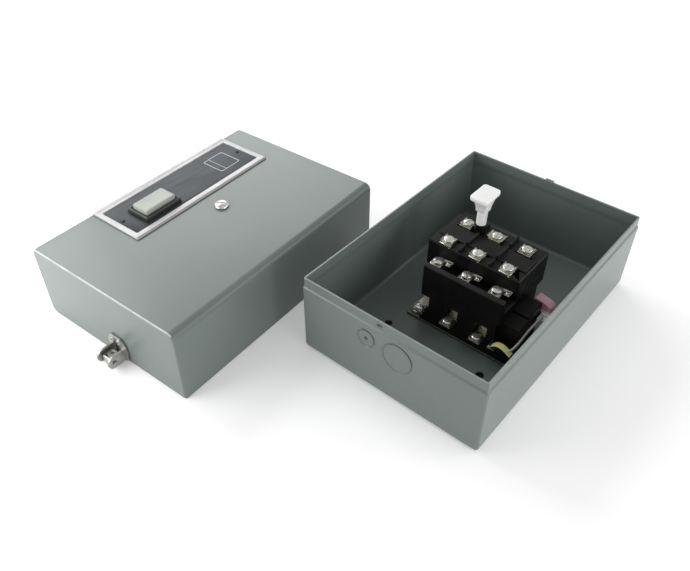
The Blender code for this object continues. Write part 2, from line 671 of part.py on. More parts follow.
def nameplate(trim_mat, panel_mat, parent):
    """Raised bright bezel with a dark panel inside it."""
    left, right, ends = TRIM_BORDER
    base = COVER_DEPTH + GAP
    trim = finish("nameplate_trim", block(TRIM_X, TRIM_Y, (base, base + 1.8), 0.7, 2),
                  trim_mat, parent)
    inner_x = (TRIM_X[0] + left, TRIM_X[1] - right)
    inner_y = (TRIM_Y[0] + ends, TRIM_Y[1] - ends)
    cut(trim, block(inner_x, inner_y, (60, 80)))
    panel = finish("nameplate_panel",
                   block((inner_x[0] + GAP, inner_x[1] - GAP),
                         (inner_y[0] + GAP, inner_y[1] - GAP), (base, base + 1.0)),
                   panel_mat, parent)
    cut(panel, around(BUTTON_AT, (26.2, 41.2), (60, 80)))
    for at in ((-62.0, 84.0), (-63.0, -50.0)):
        cut(panel, rod(1.3, base + 0.4, 80.0, (*at, 0.0), 12))


def reset_button(frame_mat, cap_mat, spring_mat, parent):
    """Sprung cap in a raised frame, with a plunger that reaches through the cover."""
    base = COVER_DEPTH + GAP
    x_size, y_size = BUTTON_SIZE
    frame = finish("button_frame", around(BUTTON_AT, (x_size + 7.0, y_size + 7.0), (base, 76.4), 1.0),
                   frame_mat, parent)
    cut(frame, around(BUTTON_AT, (x_size + 0.8, y_size + 0.8), (60, 80)))
    bottom = base + BUTTON_STROKE + 0.2
    at = (*BUTTON_AT, 0.0)
    cap = finish("reset_button", around(BUTTON_AT, BUTTON_SIZE, (bottom, BUTTON_TOP), 0.7, 2),
                 cap_mat, parent, (*BUTTON_AT, bottom))
    cut(cap, rod(6.6, 70.0, BUTTON_TOP - 1.8, at))
    join(cap, rod(3.9, 58.0, BUTTON_TOP - 1.0, at))
    join(cap, rod(5.6, 66.4, 68.6, at))
    finish("button_spring",
           coil_spring(5.2, 0.4, 3, base + 0.1, BUTTON_TOP - 2.1, BUTTON_AT), spring_mat,
           parent, (*BUTTON_AT, base))


def cover_screw(metal, parent):
    at = (*COVER_SCREW_AT, COVER_DEPTH + GAP)
    profile = ((2.4, -30.0), (2.4, 0.0), (6.2, 0.0), (6.2, 1.4), (5.4, 2.6), (3.6, 3.3))
    screw = finish("cover_screw", turned(profile, 20, at), metal, parent, at)
    x, y, z = at
    slot = block((x - 8, x + 8), (y - 0.7, y + 0.7), (z + 1.7, z + 4))
    slot.transform(Matrix.Translation((x, y, 0)) @ Matrix.Rotation(0.6, 4, "Z")
                   @ Matrix.Translation((-x, -y, 0)))
    cut(screw, slot)
    finish("screw_retainer",
           washer(2.7, 6.0, COVER_DEPTH - SHEET - GAP - 1.2, COVER_DEPTH - SHEET - GAP,
                  (x, y, 0.0), 16), metal, parent)


def hasp(metal, parent):
    """Clevis on the cover's end wall, with a swinging latch plate on its pin."""
    wall = -LENGTH / 2 - GAP
    out = wall + HASP_PIVOT[0]
    pivot_z = HASP_PIVOT[1]
    bracket = finish("hasp_bracket",
                     block((HASP_X - 11, HASP_X + 11), (wall - 1.8, wall), (2.0, 25.0), 0.4),
                     metal, parent)
    turns = [math.radians(-90 + 22.5 * step) for step in range(9)]
    ear = [(wall - 1.0, pivot_z + EAR_RADIUS), (wall - 1.0, pivot_z - EAR_RADIUS)]
    ear += [(out - EAR_RADIUS * math.cos(turn), pivot_z + EAR_RADIUS * math.sin(turn))
            for turn in turns]
    for x in (HASP_X - 7.8, HASP_X + 5.8):
        join(bracket, extruded(ear, x, x + 2.0, "YZ"))
    cut(bracket, rod(1.8, -12.0, 12.0, (HASP_X, out, pivot_z), 14, "X"))
    for x in (-3.6, 3.6):
        join(bracket, turned(((2.2, 1.0), (2.2, 2.4), (1.4, 3.0)), 12,
                             (HASP_X + x, wall, 20.6), "Y"))
    origin = (HASP_X, out, pivot_z)
    latch = finish("hasp_latch", rod(1.5, -9.4, 9.4, origin, 14, "X"), metal, parent, origin)
    join(latch, block((HASP_X - 5.2, HASP_X + 5.2), (out - 2.2, out + 2.2),
                      (pivot_z - 6.4, pivot_z + 2.6), 0.4))


def main():
    clear_scene()
    paint = material("enamel_grey_green", (0.235, 0.262, 0.245), 0.42)
    phenolic = material("phenolic_black", (0.018, 0.018, 0.017), 0.45)
    zinc = material("zinc_plate", (0.66, 0.66, 0.62), 0.32, 1.0)
    steel = material("core_steel", (0.30, 0.30, 0.31), 0.45, 1.0)
    plated = material("nickel_strap", (0.62, 0.60, 0.54), 0.35, 1.0)
    copper = material("copper", (0.70, 0.36, 0.22), 0.35, 1.0)
    brass = material("brass_strip", (0.80, 0.66, 0.22), 0.35, 1.0)
    white = material("white_nylon", (0.85, 0.85, 0.82), 0.45)
    red = material("red_moulding", (0.42, 0.04, 0.06), 0.45)
    tape = material("coil_tape", (0.32, 0.22, 0.08), 0.6)
    tan = material("bobbin_nylon", (0.55, 0.48, 0.34), 0.55)
    alloy = material("heater_alloy", (0.45, 0.42, 0.38), 0.4, 1.0)
    trim = material("bright_trim", (0.86, 0.87, 0.87), 0.25, 1.0)
    slate = material("panel_slate", (0.055, 0.062, 0.068), 0.5)
    ivory = material("button_sage", (0.53, 0.56, 0.49), 0.4)
    grey_wire = material("wire_insulation", (0.45, 0.48, 0.45), 0.5)

    enclosure_base(paint)
    mounting_plate(zinc)
    for number, (x, y) in enumerate(PLATE_SCREWS, start=1):
        slotted_screw(f"plate_screw_{number}", (x, y, PLATE_TOP + GAP), zinc, depth=2.2,
                      turn=number)
    magnet_housing(phenolic)
    magnet_yoke(steel)
    shading_rings(copper)
    coil(tan, tape)
    contact_block(phenolic)
    arc_cover(phenolic)
    stationary_contacts(plated, zinc)
    armature(steel)
    contact_carrier(phenolic)
    moving_contacts(copper)
    return_springs(steel)
    overload_housing(phenolic)
    heater_elements(alloy)
    motor_terminals(plated, zinc)
    reset_rod(white)
    reset_lever(white)
    side_blocks(red, white, brass)
    control_wire(grey_wire)

    cover = bpy.data.objects.new("cover_place", None)
    bpy.context.scene.collection.objects.link(cover)
    cover.location = (COVER_CENTRE[0] * MM, COVER_CENTRE[1] * MM, 0.0)
    cover.rotation_euler = (0.0, 0.0, COVER_TURN)
    cover_shell(paint, cover)
    nameplate(trim, slate, cover)
    reset_button(phenolic, ivory, steel, cover)
    cover_screw(zinc, cover)
    hasp(zinc, cover)


main()
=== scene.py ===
"""Looks of a magnetic motor starter: an enamelled steel enclosure with its cover lying beside it.

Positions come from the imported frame. Pieces are drawn in millimetres, in the enclosure's own
axes or in the cover's, and are turned into metres where they are placed.
"""

import json
import math

import bmesh
import bpy
from mathutils import Matrix, Vector


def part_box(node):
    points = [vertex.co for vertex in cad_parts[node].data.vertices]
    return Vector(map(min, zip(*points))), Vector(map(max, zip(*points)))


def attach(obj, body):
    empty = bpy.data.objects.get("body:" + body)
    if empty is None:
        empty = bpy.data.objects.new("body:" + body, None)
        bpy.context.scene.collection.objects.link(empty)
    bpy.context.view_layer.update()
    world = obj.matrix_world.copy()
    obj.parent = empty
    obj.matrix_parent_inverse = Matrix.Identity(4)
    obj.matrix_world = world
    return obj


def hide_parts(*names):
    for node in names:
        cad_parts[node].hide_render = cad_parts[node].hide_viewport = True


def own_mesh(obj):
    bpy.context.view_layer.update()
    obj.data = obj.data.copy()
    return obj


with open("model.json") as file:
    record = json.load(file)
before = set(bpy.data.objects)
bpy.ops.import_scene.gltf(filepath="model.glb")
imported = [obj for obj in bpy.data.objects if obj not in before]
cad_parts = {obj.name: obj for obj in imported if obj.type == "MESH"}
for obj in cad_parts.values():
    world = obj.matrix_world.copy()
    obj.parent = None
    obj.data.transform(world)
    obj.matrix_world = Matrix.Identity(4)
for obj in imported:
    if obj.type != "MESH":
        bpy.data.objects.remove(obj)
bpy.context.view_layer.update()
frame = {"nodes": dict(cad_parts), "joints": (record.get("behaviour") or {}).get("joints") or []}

MM = 0.001
METRES = Matrix.Scale(MM, 4)
BEVEL_SEGMENTS = 3
SAME_POINT = 2e-6  # points nearer than this in a finished mesh become one
SLIVER = 4e-6      # and nearer than this after the rounding of edges
SAME_CAD_POINT = 1e-6
FLAT_WITHIN = math.radians(0.5)

# Enclosure and cover
WIDTH, LENGTH, SHEET = 172.0, 249.5, 1.5
BASE_DEPTH, COVER_DEPTH = 76.9, 70.7
SHOULDER, LIP_STEP, LIP_RISE = 66.7, 1.2, 2.4
FLOOR_BEND, WALL_CORNER = 5.0, 3.0
SIDE_BEND, END_FOLD = 6.5, 2.2
RELIEF_RADIUS = 8.0  # rounded lower corners of the cover's left wall
KNOCKOUT_AT, KNOCKOUT_RADIUS = (9.7, 50.3), 13.0
DIMPLE_AT, DIMPLE_RADIUS = (-20.0, 53.0), 7.5
MOUNTING_HOLES, MOUNTING_HOLE_RADIUS = ((-47.0, -58.0), (47.0, -58.0), (0.0, 96.0)), 3.6

# Starter
MIDDLE_POLE_X, POLE_PITCH = 1.6, 28.6
POLE_X = tuple(MIDDLE_POLE_X + POLE_PITCH * step for step in (-1, 0, 1))
BLOCK_TOP = 70.0
CLAMP_LIFT = 0.7  # how far a pressure plate holds its screw's head off the terminal
LEAD_RADIUS = 1.0
ROD_AT, ROD_TOP = (-15.4, 25.4), 109.3

# On the cover, from its middle
TRIM_X, TRIM_Y, TRIM_BORDER = (-82.3, -21.7), (-64.0, 98.4), (8.4, 7.2, 5.6)
BUTTON_AT, BUTTON_SIZE, BUTTON_TOP = (-46.0, -22.7), (18.6, 33.6), 79.9
BUTTON_FLOOR, BUTTON_FRAME_TOP = 75.2, 76.4
BUTTON_OPENING = (26.2, 41.2)  # in the panel, under the button's frame
PANEL_PINS = ((-51.4, 88.6), (-51.4, -54.6))
PRINTED_FIELD, PRINTED_WIDTH = (-64.0, 54.0, -38.5, 79.0), 0.9
COVER_SCREW_AT = (-1.0, 15.2)
HASP_X, HASP_PIVOT = 9.5, (-12.5, 8.6)
PLATE_LEVEL = COVER_DEPTH + 0.3


def cover_place():
    """The cover's own axes, from where its shell lies and how its latch pin is turned."""
    low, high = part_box("cover_shell")
    axis = next(joint["axis"] for joint in frame["joints"] if joint["name"] == "hasp_latch_swing")
    turn = Matrix.Rotation(math.atan2(axis[1], axis[0]), 4, "Z")
    middle = (low + high) / 2
    return Matrix.Translation((middle.x, middle.y, 0.0)) @ turn @ METRES


COVER = cover_place()


# --- Mesh tools ---------------------------------------------------------------------------

def block(x, y, z):
    """A box between pairs of limits."""
    bm = bmesh.new()
    bmesh.ops.create_cube(bm, size=1.0)
    bmesh.ops.scale(bm, vec=(x[1] - x[0], y[1] - y[0], z[1] - z[0]), verts=bm.verts)
    middle = Vector((x[0] + x[1], y[0] + y[1], z[0] + z[1])) / 2
    bmesh.ops.translate(bm, vec=middle, verts=bm.verts)
    return bm


def around(at, size, z):
    """A box of a given x, y size centred on at."""
    return block((at[0] - size[0] / 2, at[0] + size[0] / 2),
                 (at[1] - size[1] / 2, at[1] + size[1] / 2), z)


def skin(rings, closed=False):
    """Faces between successive rings of the same number of points."""
    bm = bmesh.new()
    loops = [[bm.verts.new(point) for point in ring] for ring in rings]
    pairs = list(zip(loops, loops[1:]))
    if closed:
        pairs.append((loops[-1], loops[0]))
    for low, high in pairs:
        for k in range(len(low)):
            after = (k + 1) % len(low)
            bm.faces.new((low[k], low[after], high[after], high[k]))
    if not closed:
        bm.faces.new(loops[0][::-1])
        bm.faces.new(loops[-1])
    bmesh.ops.recalc_face_normals(bm, faces=bm.faces)
    return bm


def circle(radius, z, sides):
    """A level ring of points round the z axis."""
    turns = [2 * math.pi * k / sides for k in range(sides)]
    return [(radius * math.cos(turn), radius * math.sin(turn), z) for turn in turns]


def turned(profile, at, axis="Z", sides=48):
    """A solid of revolution from (radius, height) points, lowest first."""
    bm = skin([circle(radius, z, sides) for radius, z in profile])
    if axis == "Y":
        bm.transform(Matrix.Rotation(math.radians(90), 4, "X"))
    if axis == "X":
        bm.transform(Matrix.Rotation(math.radians(90), 4, "Y"))
    bm.transform(Matrix.Translation(at))
    return bm


def rectangle(half_x, half_y, corner, z, at=(0.0, 0.0), steps=8):
    """A ring of points: a rectangle with round corners."""
    points = []
    for quarter, (side_x, side_y) in enumerate(((1, 1), (-1, 1), (-1, -1), (1, -1))):
        for step in range(steps + 1):
            turn = math.radians(90 * (quarter + step / steps))
            points.append((at[0] + side_x * (half_x - corner) + corner * math.cos(turn),
                           at[1] + side_y * (half_y - corner) + corner * math.sin(turn), z))
    return points


def quarter_turn(steps):
    """Angles from 0 to 90 degrees."""
    return [math.radians(90 * step / steps) for step in range(steps + 1)]


def quarter_bend(radius, steps=8):
    """(rise, inset) pairs of a quarter circle from flat to upright."""
    return [(radius * (1 - math.cos(turn)), radius * (1 - math.sin(turn)))
            for turn in quarter_turn(steps)]


def dome(radius, low, rise, angles):
    """(radius, height) points up a low dome, for angles in degrees."""
    return [(radius * math.cos(turn), low + rise * math.sin(turn))
            for turn in map(math.radians, angles)]


def filleted(outline, radius, steps=4):
    """A closed outline with each corner replaced by an arc."""
    points = []
    for k, here in enumerate(outline):
        here = Vector(here)
        before, after = Vector(outline[k - 1]), Vector(outline[(k + 1) % len(outline)])
        back, ahead = (before - here), (after - here)
        half = back.angle(ahead) / 2
        reach = min(radius / math.tan(half), back.length * 0.45, ahead.length * 0.45)
        start, end = here + back.normalized() * reach, here + ahead.normalized() * reach
        for step in range(steps + 1):
            t = step / steps
            points.append(start * (1 - t) ** 2 + here * (2 * t * (1 - t)) + end * t ** 2)
    return points


def extruded(outline, low, high, plane="XZ"):
    """A straight prism: outline points in one plane, pulled between two limits."""
    place = {"XZ": lambda a, b, c: (a, c, b), "YZ": lambda a, b, c: (c, a, b),
             "XY": lambda a, b, c: (a, b, c)}[plane]
    return skin([[place(a, b, level) for a, b in outline] for level in (low, high)])


def framed(outer, inner, corner, profile, at=(0.0, 0.0)):
    """A rectangular ring: profile (share of the way in, height) swept round the border.

    outer and inner are (low x, low y, high x, high y).
    """
    rings = []
    for share, height in profile:
        edges = [a + (b - a) * share for a, b in zip(outer, inner)]
        middle = ((edges[0] + edges[2]) / 2 + at[0], (edges[1] + edges[3]) / 2 + at[1])
        rings.append(rectangle((edges[2] - edges[0]) / 2, (edges[3] - edges[1]) / 2,
                               corner, height, middle, 4))
    return skin(rings, closed=True)


def combined(first, second, operation="DIFFERENCE"):
    """first cut by second, or joined to it, as a new bmesh."""
    things = []
    for shape in (first, second):
        bmesh.ops.recalc_face_normals(shape, faces=shape.faces)
        mesh = bpy.data.meshes.new("working")
        shape.to_mesh(mesh)
        shape.free()
        thing = bpy.data.objects.new("working", mesh)
        bpy.context.scene.collection.objects.link(thing)
        things.append(thing)
    step = things[0].modifiers.new("boolean", "BOOLEAN")
    step.operation = operation
    step.solver = "EXACT"
    step.object = things[1]
    evaluated = things[0].evaluated_get(bpy.context.evaluated_depsgraph_get())
    result = bmesh.new()
    result.from_mesh(evaluated.to_mesh())
    evaluated.to_mesh_clear()
    for thing in things:
        bpy.data.meshes.remove(thing.data)
    return result


def joined(first, second):
    """Both shapes as one, as a new bmesh."""
    return combined(first, second, "UNION")


def bored(bm, radius, low, high, at, axis="Z", sides=28):
    """bm with a round hole through it, from low to high along axis from at."""
    return combined(bm, turned(((radius, low), (radius, high)), at, axis, sides))


def helix(radius, wire, turns, low, high, at, per_turn=24, sides=10):
    """A compression spring whose end turns lie flat."""
    steps = int(turns * per_turn)
    rings = []
    for step in range(steps + 1):
        t = step / steps
        rest = 1.0 / turns
        share = min(max((t - rest) / (1 - 2 * rest), 0.0), 1.0)
        z = low + wire + (high - low - 2 * wire) * (0.05 * t + 0.95 * share)
        turn = 2 * math.pi * step / per_turn
        out = Vector((math.cos(turn), math.sin(turn), 0.0))
        middle = out * radius + Vector((at[0], at[1], z))
        rings.append([middle + wire * (out * math.cos(2 * math.pi * k / sides)
                                       + Vector((0, 0, 1)) * math.sin(2 * math.pi * k / sides))
                      for k in range(sides)])
    return skin(rings)


def piece(name, bm, finish, body, replaced=(), place=METRES, soft=0.0, angle=35):
    """A shown object: bm placed in the frame, its sharp edges softened by soft millimetres."""
    bm.transform(place)
    bmesh.ops.remove_doubles(bm, verts=bm.verts, dist=SAME_POINT)
    bmesh.ops.recalc_face_normals(bm, faces=bm.faces)
    mesh = bpy.data.meshes.new(name)
    bm.to_mesh(mesh)
    bm.free()
    mesh.shade_smooth()
    mesh.materials.append(finish)
    thing = bpy.data.objects.new(name, mesh)
    bpy.context.scene.collection.objects.link(thing)
    if soft:
        soften(thing, soft, angle)
    else:
        mesh.set_sharp_from_angle(angle=math.radians(angle))
    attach(thing, body)
    if replaced:
        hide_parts(*replaced)
    return thing


def soften(thing, width, angle=30):
    """Round the sharp edges and keep the flats flat."""
    bevel = thing.modifiers.new("rounded_edges", "BEVEL")
    bevel.width = width * MM
    bevel.segments = BEVEL_SEGMENTS
    bevel.limit_method = "ANGLE"
    bevel.angle_limit = math.radians(angle)
    bevel.miter_outer = "MITER_ARC"
    clean = thing.modifiers.new("no_slivers", "WELD")
    clean.merge_threshold = SLIVER
    weighted = thing.modifiers.new("even_shading", "WEIGHTED_NORMAL")
    weighted.keep_sharp = True


def keep(node, finish, width=0.3):
    """Give a CAD node its finish and round its sharp edges; its own mesh stays as it is."""
    thing = frame["nodes"][node]
    thing.data.materials.clear()
    thing.data.materials.append(finish)
    weld = thing.modifiers.new("whole", "WELD")
    weld.merge_threshold = SAME_CAD_POINT
    flat = thing.modifiers.new("whole_faces", "DECIMATE")
    flat.decimate_type = "DISSOLVE"
    flat.angle_limit = FLAT_WITHIN
    soften(thing, width)
    for polygon in thing.data.polygons:
        polygon.use_smooth = True


# --- Finishes -----------------------------------------------------------------------------

class Surface:
    """A Principled material and the nodes that vary it over the surface."""

    def __init__(self, name, metallic=0.0, **constants):
        self.material = bpy.data.materials.new(name)
        self.material.use_nodes = True
        self.tree = self.material.node_tree
        self.shader = self.tree.nodes["Principled BSDF"]
        self.shader.inputs["Metallic"].default_value = metallic
        for key, value in constants.items():
            self.shader.inputs[key.replace("_", " ")].default_value = value
        self.place = self.tree.nodes.new("ShaderNodeTexCoord").outputs["Object"]

    def stretched(self, scale):
        node = self.tree.nodes.new("ShaderNodeMapping")
        node.inputs["Scale"].default_value = scale
        self.tree.links.new(self.place, node.inputs["Vector"])
        return node.outputs["Vector"]

    def noise(self, scale, detail=3.0, rough=0.5, place=None):
        node = self.tree.nodes.new("ShaderNodeTexNoise")
        node.inputs["Scale"].default_value = scale
        node.inputs["Detail"].default_value = detail
        node.inputs["Roughness"].default_value = rough
        self.tree.links.new(place or self.place, node.inputs["Vector"])
        return node.outputs["Fac"]

    def cells(self, scale):
        node = self.tree.nodes.new("ShaderNodeTexVoronoi")
        node.inputs["Scale"].default_value = scale
        self.tree.links.new(self.place, node.inputs["Vector"])
        return node.outputs["Distance"]

    def bands(self, scale, direction, distortion):
        node = self.tree.nodes.new("ShaderNodeTexWave")
        node.bands_direction = direction
        node.inputs["Scale"].default_value = scale
        node.inputs["Distortion"].default_value = distortion
        self.tree.links.new(self.place, node.inputs["Vector"])
        return node.outputs["Fac"]

    def attribute(self, name):
        node = self.tree.nodes.new("ShaderNodeAttribute")
        node.attribute_name = name
        return node.outputs["Fac"]

    def ranged(self, source, low, high, start=0.3, end=0.7):
        node = self.tree.nodes.new("ShaderNodeMapRange")
        for key, value in (("From Min", start), ("From Max", end),
                           ("To Min", low), ("To Max", high)):
            node.inputs[key].default_value = value
        self.tree.links.new(source, node.inputs["Value"])
        return node.outputs["Result"]

    def times(self, first, second):
        node = self.tree.nodes.new("ShaderNodeMath")
        node.operation = "MULTIPLY"
        self.tree.links.new(first, node.inputs[0])
        self.tree.links.new(second, node.inputs[1])
        return node.outputs["Value"]

    def mixed(self, share, first, second):
        """A colour between first and second, each a socket or three numbers."""
        node = self.tree.nodes.new("ShaderNodeMix")
        node.data_type = "RGBA"
        self.tree.links.new(share, node.inputs["Factor"])
        for colour, name in ((first, "A"), (second, "B")):
            socket = next(s for s in node.inputs if s.name == name and s.type == "RGBA")
            if isinstance(colour, tuple):
                socket.default_value = (*colour, 1.0)
            else:
                self.tree.links.new(colour, socket)
        return next(s for s in node.outputs if s.type == "RGBA")

    def colour(self, source):
        self.tree.links.new(source, self.shader.inputs["Base Color"])

    def roughness(self, source):
        self.tree.links.new(source, self.shader.inputs["Roughness"])

    def relief(self, *layers):
        """Bump from (height socket, depth in metres) layers."""
        below = None
        for height, depth in layers:
            node = self.tree.nodes.new("ShaderNodeBump")
            node.inputs["Distance"].default_value = depth
            self.tree.links.new(height, node.inputs["Height"])
            if below is not None:
                self.tree.links.new(below, node.inputs["Normal"])
            below = node.outputs["Normal"]
        self.tree.links.new(below, self.shader.inputs["Normal"])


def enamel():
    """Baked grey-green enamel: orange peel, slow drift of tone, dust, and edges drawn lighter, a
    painted highlight with some wear.
    """
    s = Surface("enamel_grey_green", Specular_IOR_Level=0.35, Coat_Weight=0.12, Coat_Roughness=0.14)
    drift = s.ranged(s.noise(9.0, 2.0), 0.0, 1.0)
    tone = s.mixed(drift, (0.140, 0.168, 0.157), (0.152, 0.180, 0.169))
    dust = s.ranged(s.noise(260.0, 6.0, 0.7), 0.0, 0.3, 0.52, 0.75)
    tone = s.mixed(dust, tone, (0.178, 0.198, 0.188))
    speck = s.ranged(s.noise(1400.0, 2.0), 0.0, 0.5, 0.66, 0.72)
    tone = s.mixed(speck, tone, (0.10, 0.12, 0.11))
    # Marked edges are drawn in a lighter paint: a painted highlight, broken up by noise like wear.
    sheen_and_wear = s.times(s.attribute("edge"), s.ranged(s.noise(120.0, 5.0, 0.65), 0.6, 1.0, 0.4, 0.65))
    s.colour(s.mixed(sheen_and_wear, tone, (0.56, 0.62, 0.59)))
    s.roughness(s.ranged(s.noise(14.0, 2.0), 0.32, 0.36))
    s.relief((s.noise(5.0, 1.0), 0.0007), (s.noise(750.0, 2.0), 0.000022),
             (s.cells(320.0), 0.000006))
    return s.material


def moulding(name, colour, shade, roughness=(0.36, 0.52)):
    """A moulded plastic: faint flow mottle and a fine moulded grain."""
    s = Surface(name)
    s.colour(s.mixed(s.ranged(s.noise(70.0, 4.0, 0.6), 0.0, 1.0), colour, shade))
    s.roughness(s.ranged(s.noise(180.0, 4.0), *roughness))
    s.relief((s.noise(40.0, 2.0), 0.00012), (s.noise(1800.0, 2.0), 0.000008))
    return s.material


def phenolic():
    """Black phenolic: mineral specks and dust lying in the grain."""
    s = Surface("phenolic_black", Specular_IOR_Level=0.22)
    tone = s.mixed(s.ranged(s.noise(90.0, 5.0), 0.0, 1.0),
                   (0.0035, 0.0035, 0.003), (0.007, 0.007, 0.0065))
    speck = s.ranged(s.noise(2200.0, 2.0), 0.0, 0.5, 0.62, 0.7)
    tone = s.mixed(speck, tone, (0.022, 0.022, 0.02))
    dust = s.ranged(s.noise(340.0, 6.0, 0.7), 0.0, 0.22, 0.56, 0.8)
    s.colour(s.mixed(dust, tone, (0.03, 0.03, 0.028)))
    s.roughness(s.ranged(s.noise(120.0, 4.0), 0.3, 0.55))
    s.relief((s.noise(30.0, 2.0), 0.00015), (s.noise(1600.0, 2.0), 0.00001))
    return s.material


def metal(name, colour, shade, roughness=(0.24, 0.42), stain=None, metallic=1.0):
    """Bare or plated metal: tone drift, stains if any, and a fine grain."""
    s = Surface(name, metallic=metallic)
    tone = s.mixed(s.ranged(s.noise(85.0, 4.0, 0.6), 0.0, 1.0), colour, shade)
    if stain:
        tone = s.mixed(s.ranged(s.noise(210.0, 5.0, 0.6), 0.0, 0.5, 0.5, 0.8), tone, stain)
    s.colour(tone)
    s.roughness(s.ranged(s.noise(260.0, 5.0, 0.6), *roughness))
    s.relief((s.noise(1500.0, 3.0, 0.6), 0.000003), (s.noise(60.0, 2.0), 0.000015))
    return s.material


def laminated(name, colour, shade):
    """Stacked steel stampings: a line at each lamination along y."""
    s = Surface(name, metallic=1.0)
    seam = s.bands(320.0, "Y", 0.4)
    tone = s.mixed(s.ranged(s.noise(120.0, 5.0), 0.0, 1.0), colour, shade)
    s.colour(s.mixed(s.ranged(seam, 0.5, 0.0, 0.05, 0.3), tone, (0.06, 0.055, 0.05)))
    s.roughness(s.ranged(s.noise(200.0, 4.0), 0.32, 0.52))
    s.relief((seam, 0.00006), (s.noise(1200.0, 3.0), 0.00001))
    return s.material


def taped():
    """Varnished tape wound over the coil."""
    s = Surface("coil_tape", Coat_Weight=0.3)
    lap = s.bands(55.0, "Z", 1.2)
    tone = s.mixed(s.ranged(s.noise(140.0, 5.0), 0.0, 1.0),
                   (0.20, 0.115, 0.035), (0.33, 0.20, 0.07))
    s.colour(s.mixed(s.ranged(lap, 0.5, 0.0, 0.0, 0.2), tone, (0.09, 0.05, 0.02)))
    s.roughness(s.ranged(s.noise(150.0, 3.0), 0.3, 0.55))
    s.relief((lap, 0.00015), (s.noise(1500.0, 2.0), 0.00002))
    return s.material


def bright_trim():
    """Bright aluminium bezel, drawn along its length, a little dulled."""
    s = Surface("bright_trim", metallic=0.55)
    s.colour(s.mixed(s.ranged(s.noise(90.0, 4.0), 0.0, 1.0),
                     (0.375, 0.37, 0.372), (0.33, 0.325, 0.33)))
    s.roughness(s.ranged(s.noise(300.0, 4.0, 0.6, s.stretched((1.0, 0.08, 1.0))), 0.3, 0.46))
    s.relief((s.noise(2600.0, 2.0, 0.5, s.stretched((1.0, 0.03, 1.0))), 0.000006),
             (s.noise(45.0, 2.0), 0.0001))
    return s.material


def slate():
    """Anodised panel, brushed along its length, with handling marks."""
    s = Surface("panel_slate", metallic=0.1, Specular_IOR_Level=0.3)
    tone = s.mixed(s.ranged(s.noise(40.0, 4.0), 0.0, 1.0),
                   (0.023, 0.030, 0.037), (0.032, 0.040, 0.047))
    rub = s.ranged(s.noise(420.0, 5.0, 0.7, s.stretched((1.0, 0.2, 1.0))), 0.0, 0.3, 0.55, 0.75)
    s.colour(s.mixed(rub, tone, (0.065, 0.072, 0.078)))
    s.roughness(s.ranged(s.noise(500.0, 4.0, 0.6, s.stretched((1.0, 0.05, 1.0))), 0.36, 0.52))
    s.relief((s.noise(3200.0, 2.0, 0.5, s.stretched((1.0, 0.03, 1.0))), 0.000005),
             (s.noise(30.0, 1.0), 0.00015))
    return s.material


PAINT = enamel()
PHENOLIC = phenolic()
ZINC = metal("zinc_plate", (0.76, 0.76, 0.74), (0.62, 0.62, 0.59), (0.2, 0.34),
             (0.40, 0.38, 0.32), 0.88)
# A darker copy of the zinc plate for the hasp: painted shade.
HASP_ZINC = metal("zinc_plate_shaded", (0.42, 0.42, 0.40), (0.31, 0.31, 0.29), (0.26, 0.38),
                  (0.18, 0.17, 0.15), 0.85)
DULL_ZINC = metal("zinc_plate_dull", (0.20, 0.20, 0.18), (0.14, 0.14, 0.12), (0.4, 0.6))
NICKEL = metal("nickel_strap", (0.60, 0.58, 0.51), (0.46, 0.44, 0.37), (0.2, 0.36),
               (0.28, 0.25, 0.18), 0.92)
CLAMP = metal("nickel_clamp", (0.46, 0.45, 0.40), (0.34, 0.32, 0.27), (0.24, 0.38),
              (0.20, 0.18, 0.13))
STEEL = metal("spring_steel", (0.46, 0.46, 0.47), (0.34, 0.34, 0.35))
CORE = laminated("core_steel", (0.34, 0.34, 0.35), (0.24, 0.23, 0.23))
COPPER = metal("copper", (0.78, 0.42, 0.27), (0.60, 0.30, 0.19), (0.24, 0.42), (0.25, 0.12, 0.08))
ALLOY = metal("heater_alloy", (0.50, 0.47, 0.43), (0.38, 0.35, 0.31), (0.24, 0.42),
              (0.2, 0.15, 0.12))
# Brass drawn very bright and little metallic: a painted reflection for the leaf's glint.
BRASS = metal("brass_strip", (1.0, 0.98, 0.46), (0.96, 0.92, 0.34), (0.28, 0.4), metallic=0.25)
WHITE = moulding("white_nylon", (0.92, 0.92, 0.91), (0.87, 0.87, 0.86), (0.34, 0.46))
RED = moulding("red_moulding", (0.84, 0.47, 0.55), (0.75, 0.40, 0.47))
BOBBIN = moulding("bobbin_nylon", (0.56, 0.49, 0.35), (0.48, 0.41, 0.28))
SAGE = moulding("button_sage", (0.385, 0.41, 0.37), (0.35, 0.375, 0.335), (0.38, 0.5))
FRAME_BLACK = moulding("frame_black", (0.016, 0.018, 0.013), (0.026, 0.029, 0.022), (0.3, 0.45))
WIRE = moulding("wire_insulation", (0.50, 0.53, 0.50), (0.42, 0.45, 0.42))
TAPE = taped()
TRIM = bright_trim()
SLATE = slate()
PRINT = moulding("printed_line", (0.40, 0.42, 0.43), (0.35, 0.36, 0.37))


# --- Enclosure ----------------------------------------------------------------------------

def mark_sheen_and_wear(thing, edge_sheen_and_wear):
    """A point attribute named edge, from 0 to 1, from a function of x, y, z in millimetres: how
    much lighter the paint is drawn, a painted highlight on edges with some wear.
    """
    edge = thing.data.attributes.new("edge", "FLOAT", "POINT")
    values = [float(edge_sheen_and_wear(*(vert.co / MM))) for vert in thing.data.vertices]
    edge.data.foreach_set("value", values)


def ring_at(z, inset):
    """The enclosure's outline at a height, drawn in by inset."""
    return rectangle(WIDTH / 2 - inset, LENGTH / 2 - inset, max(WALL_CORNER - inset, 0.8), z)


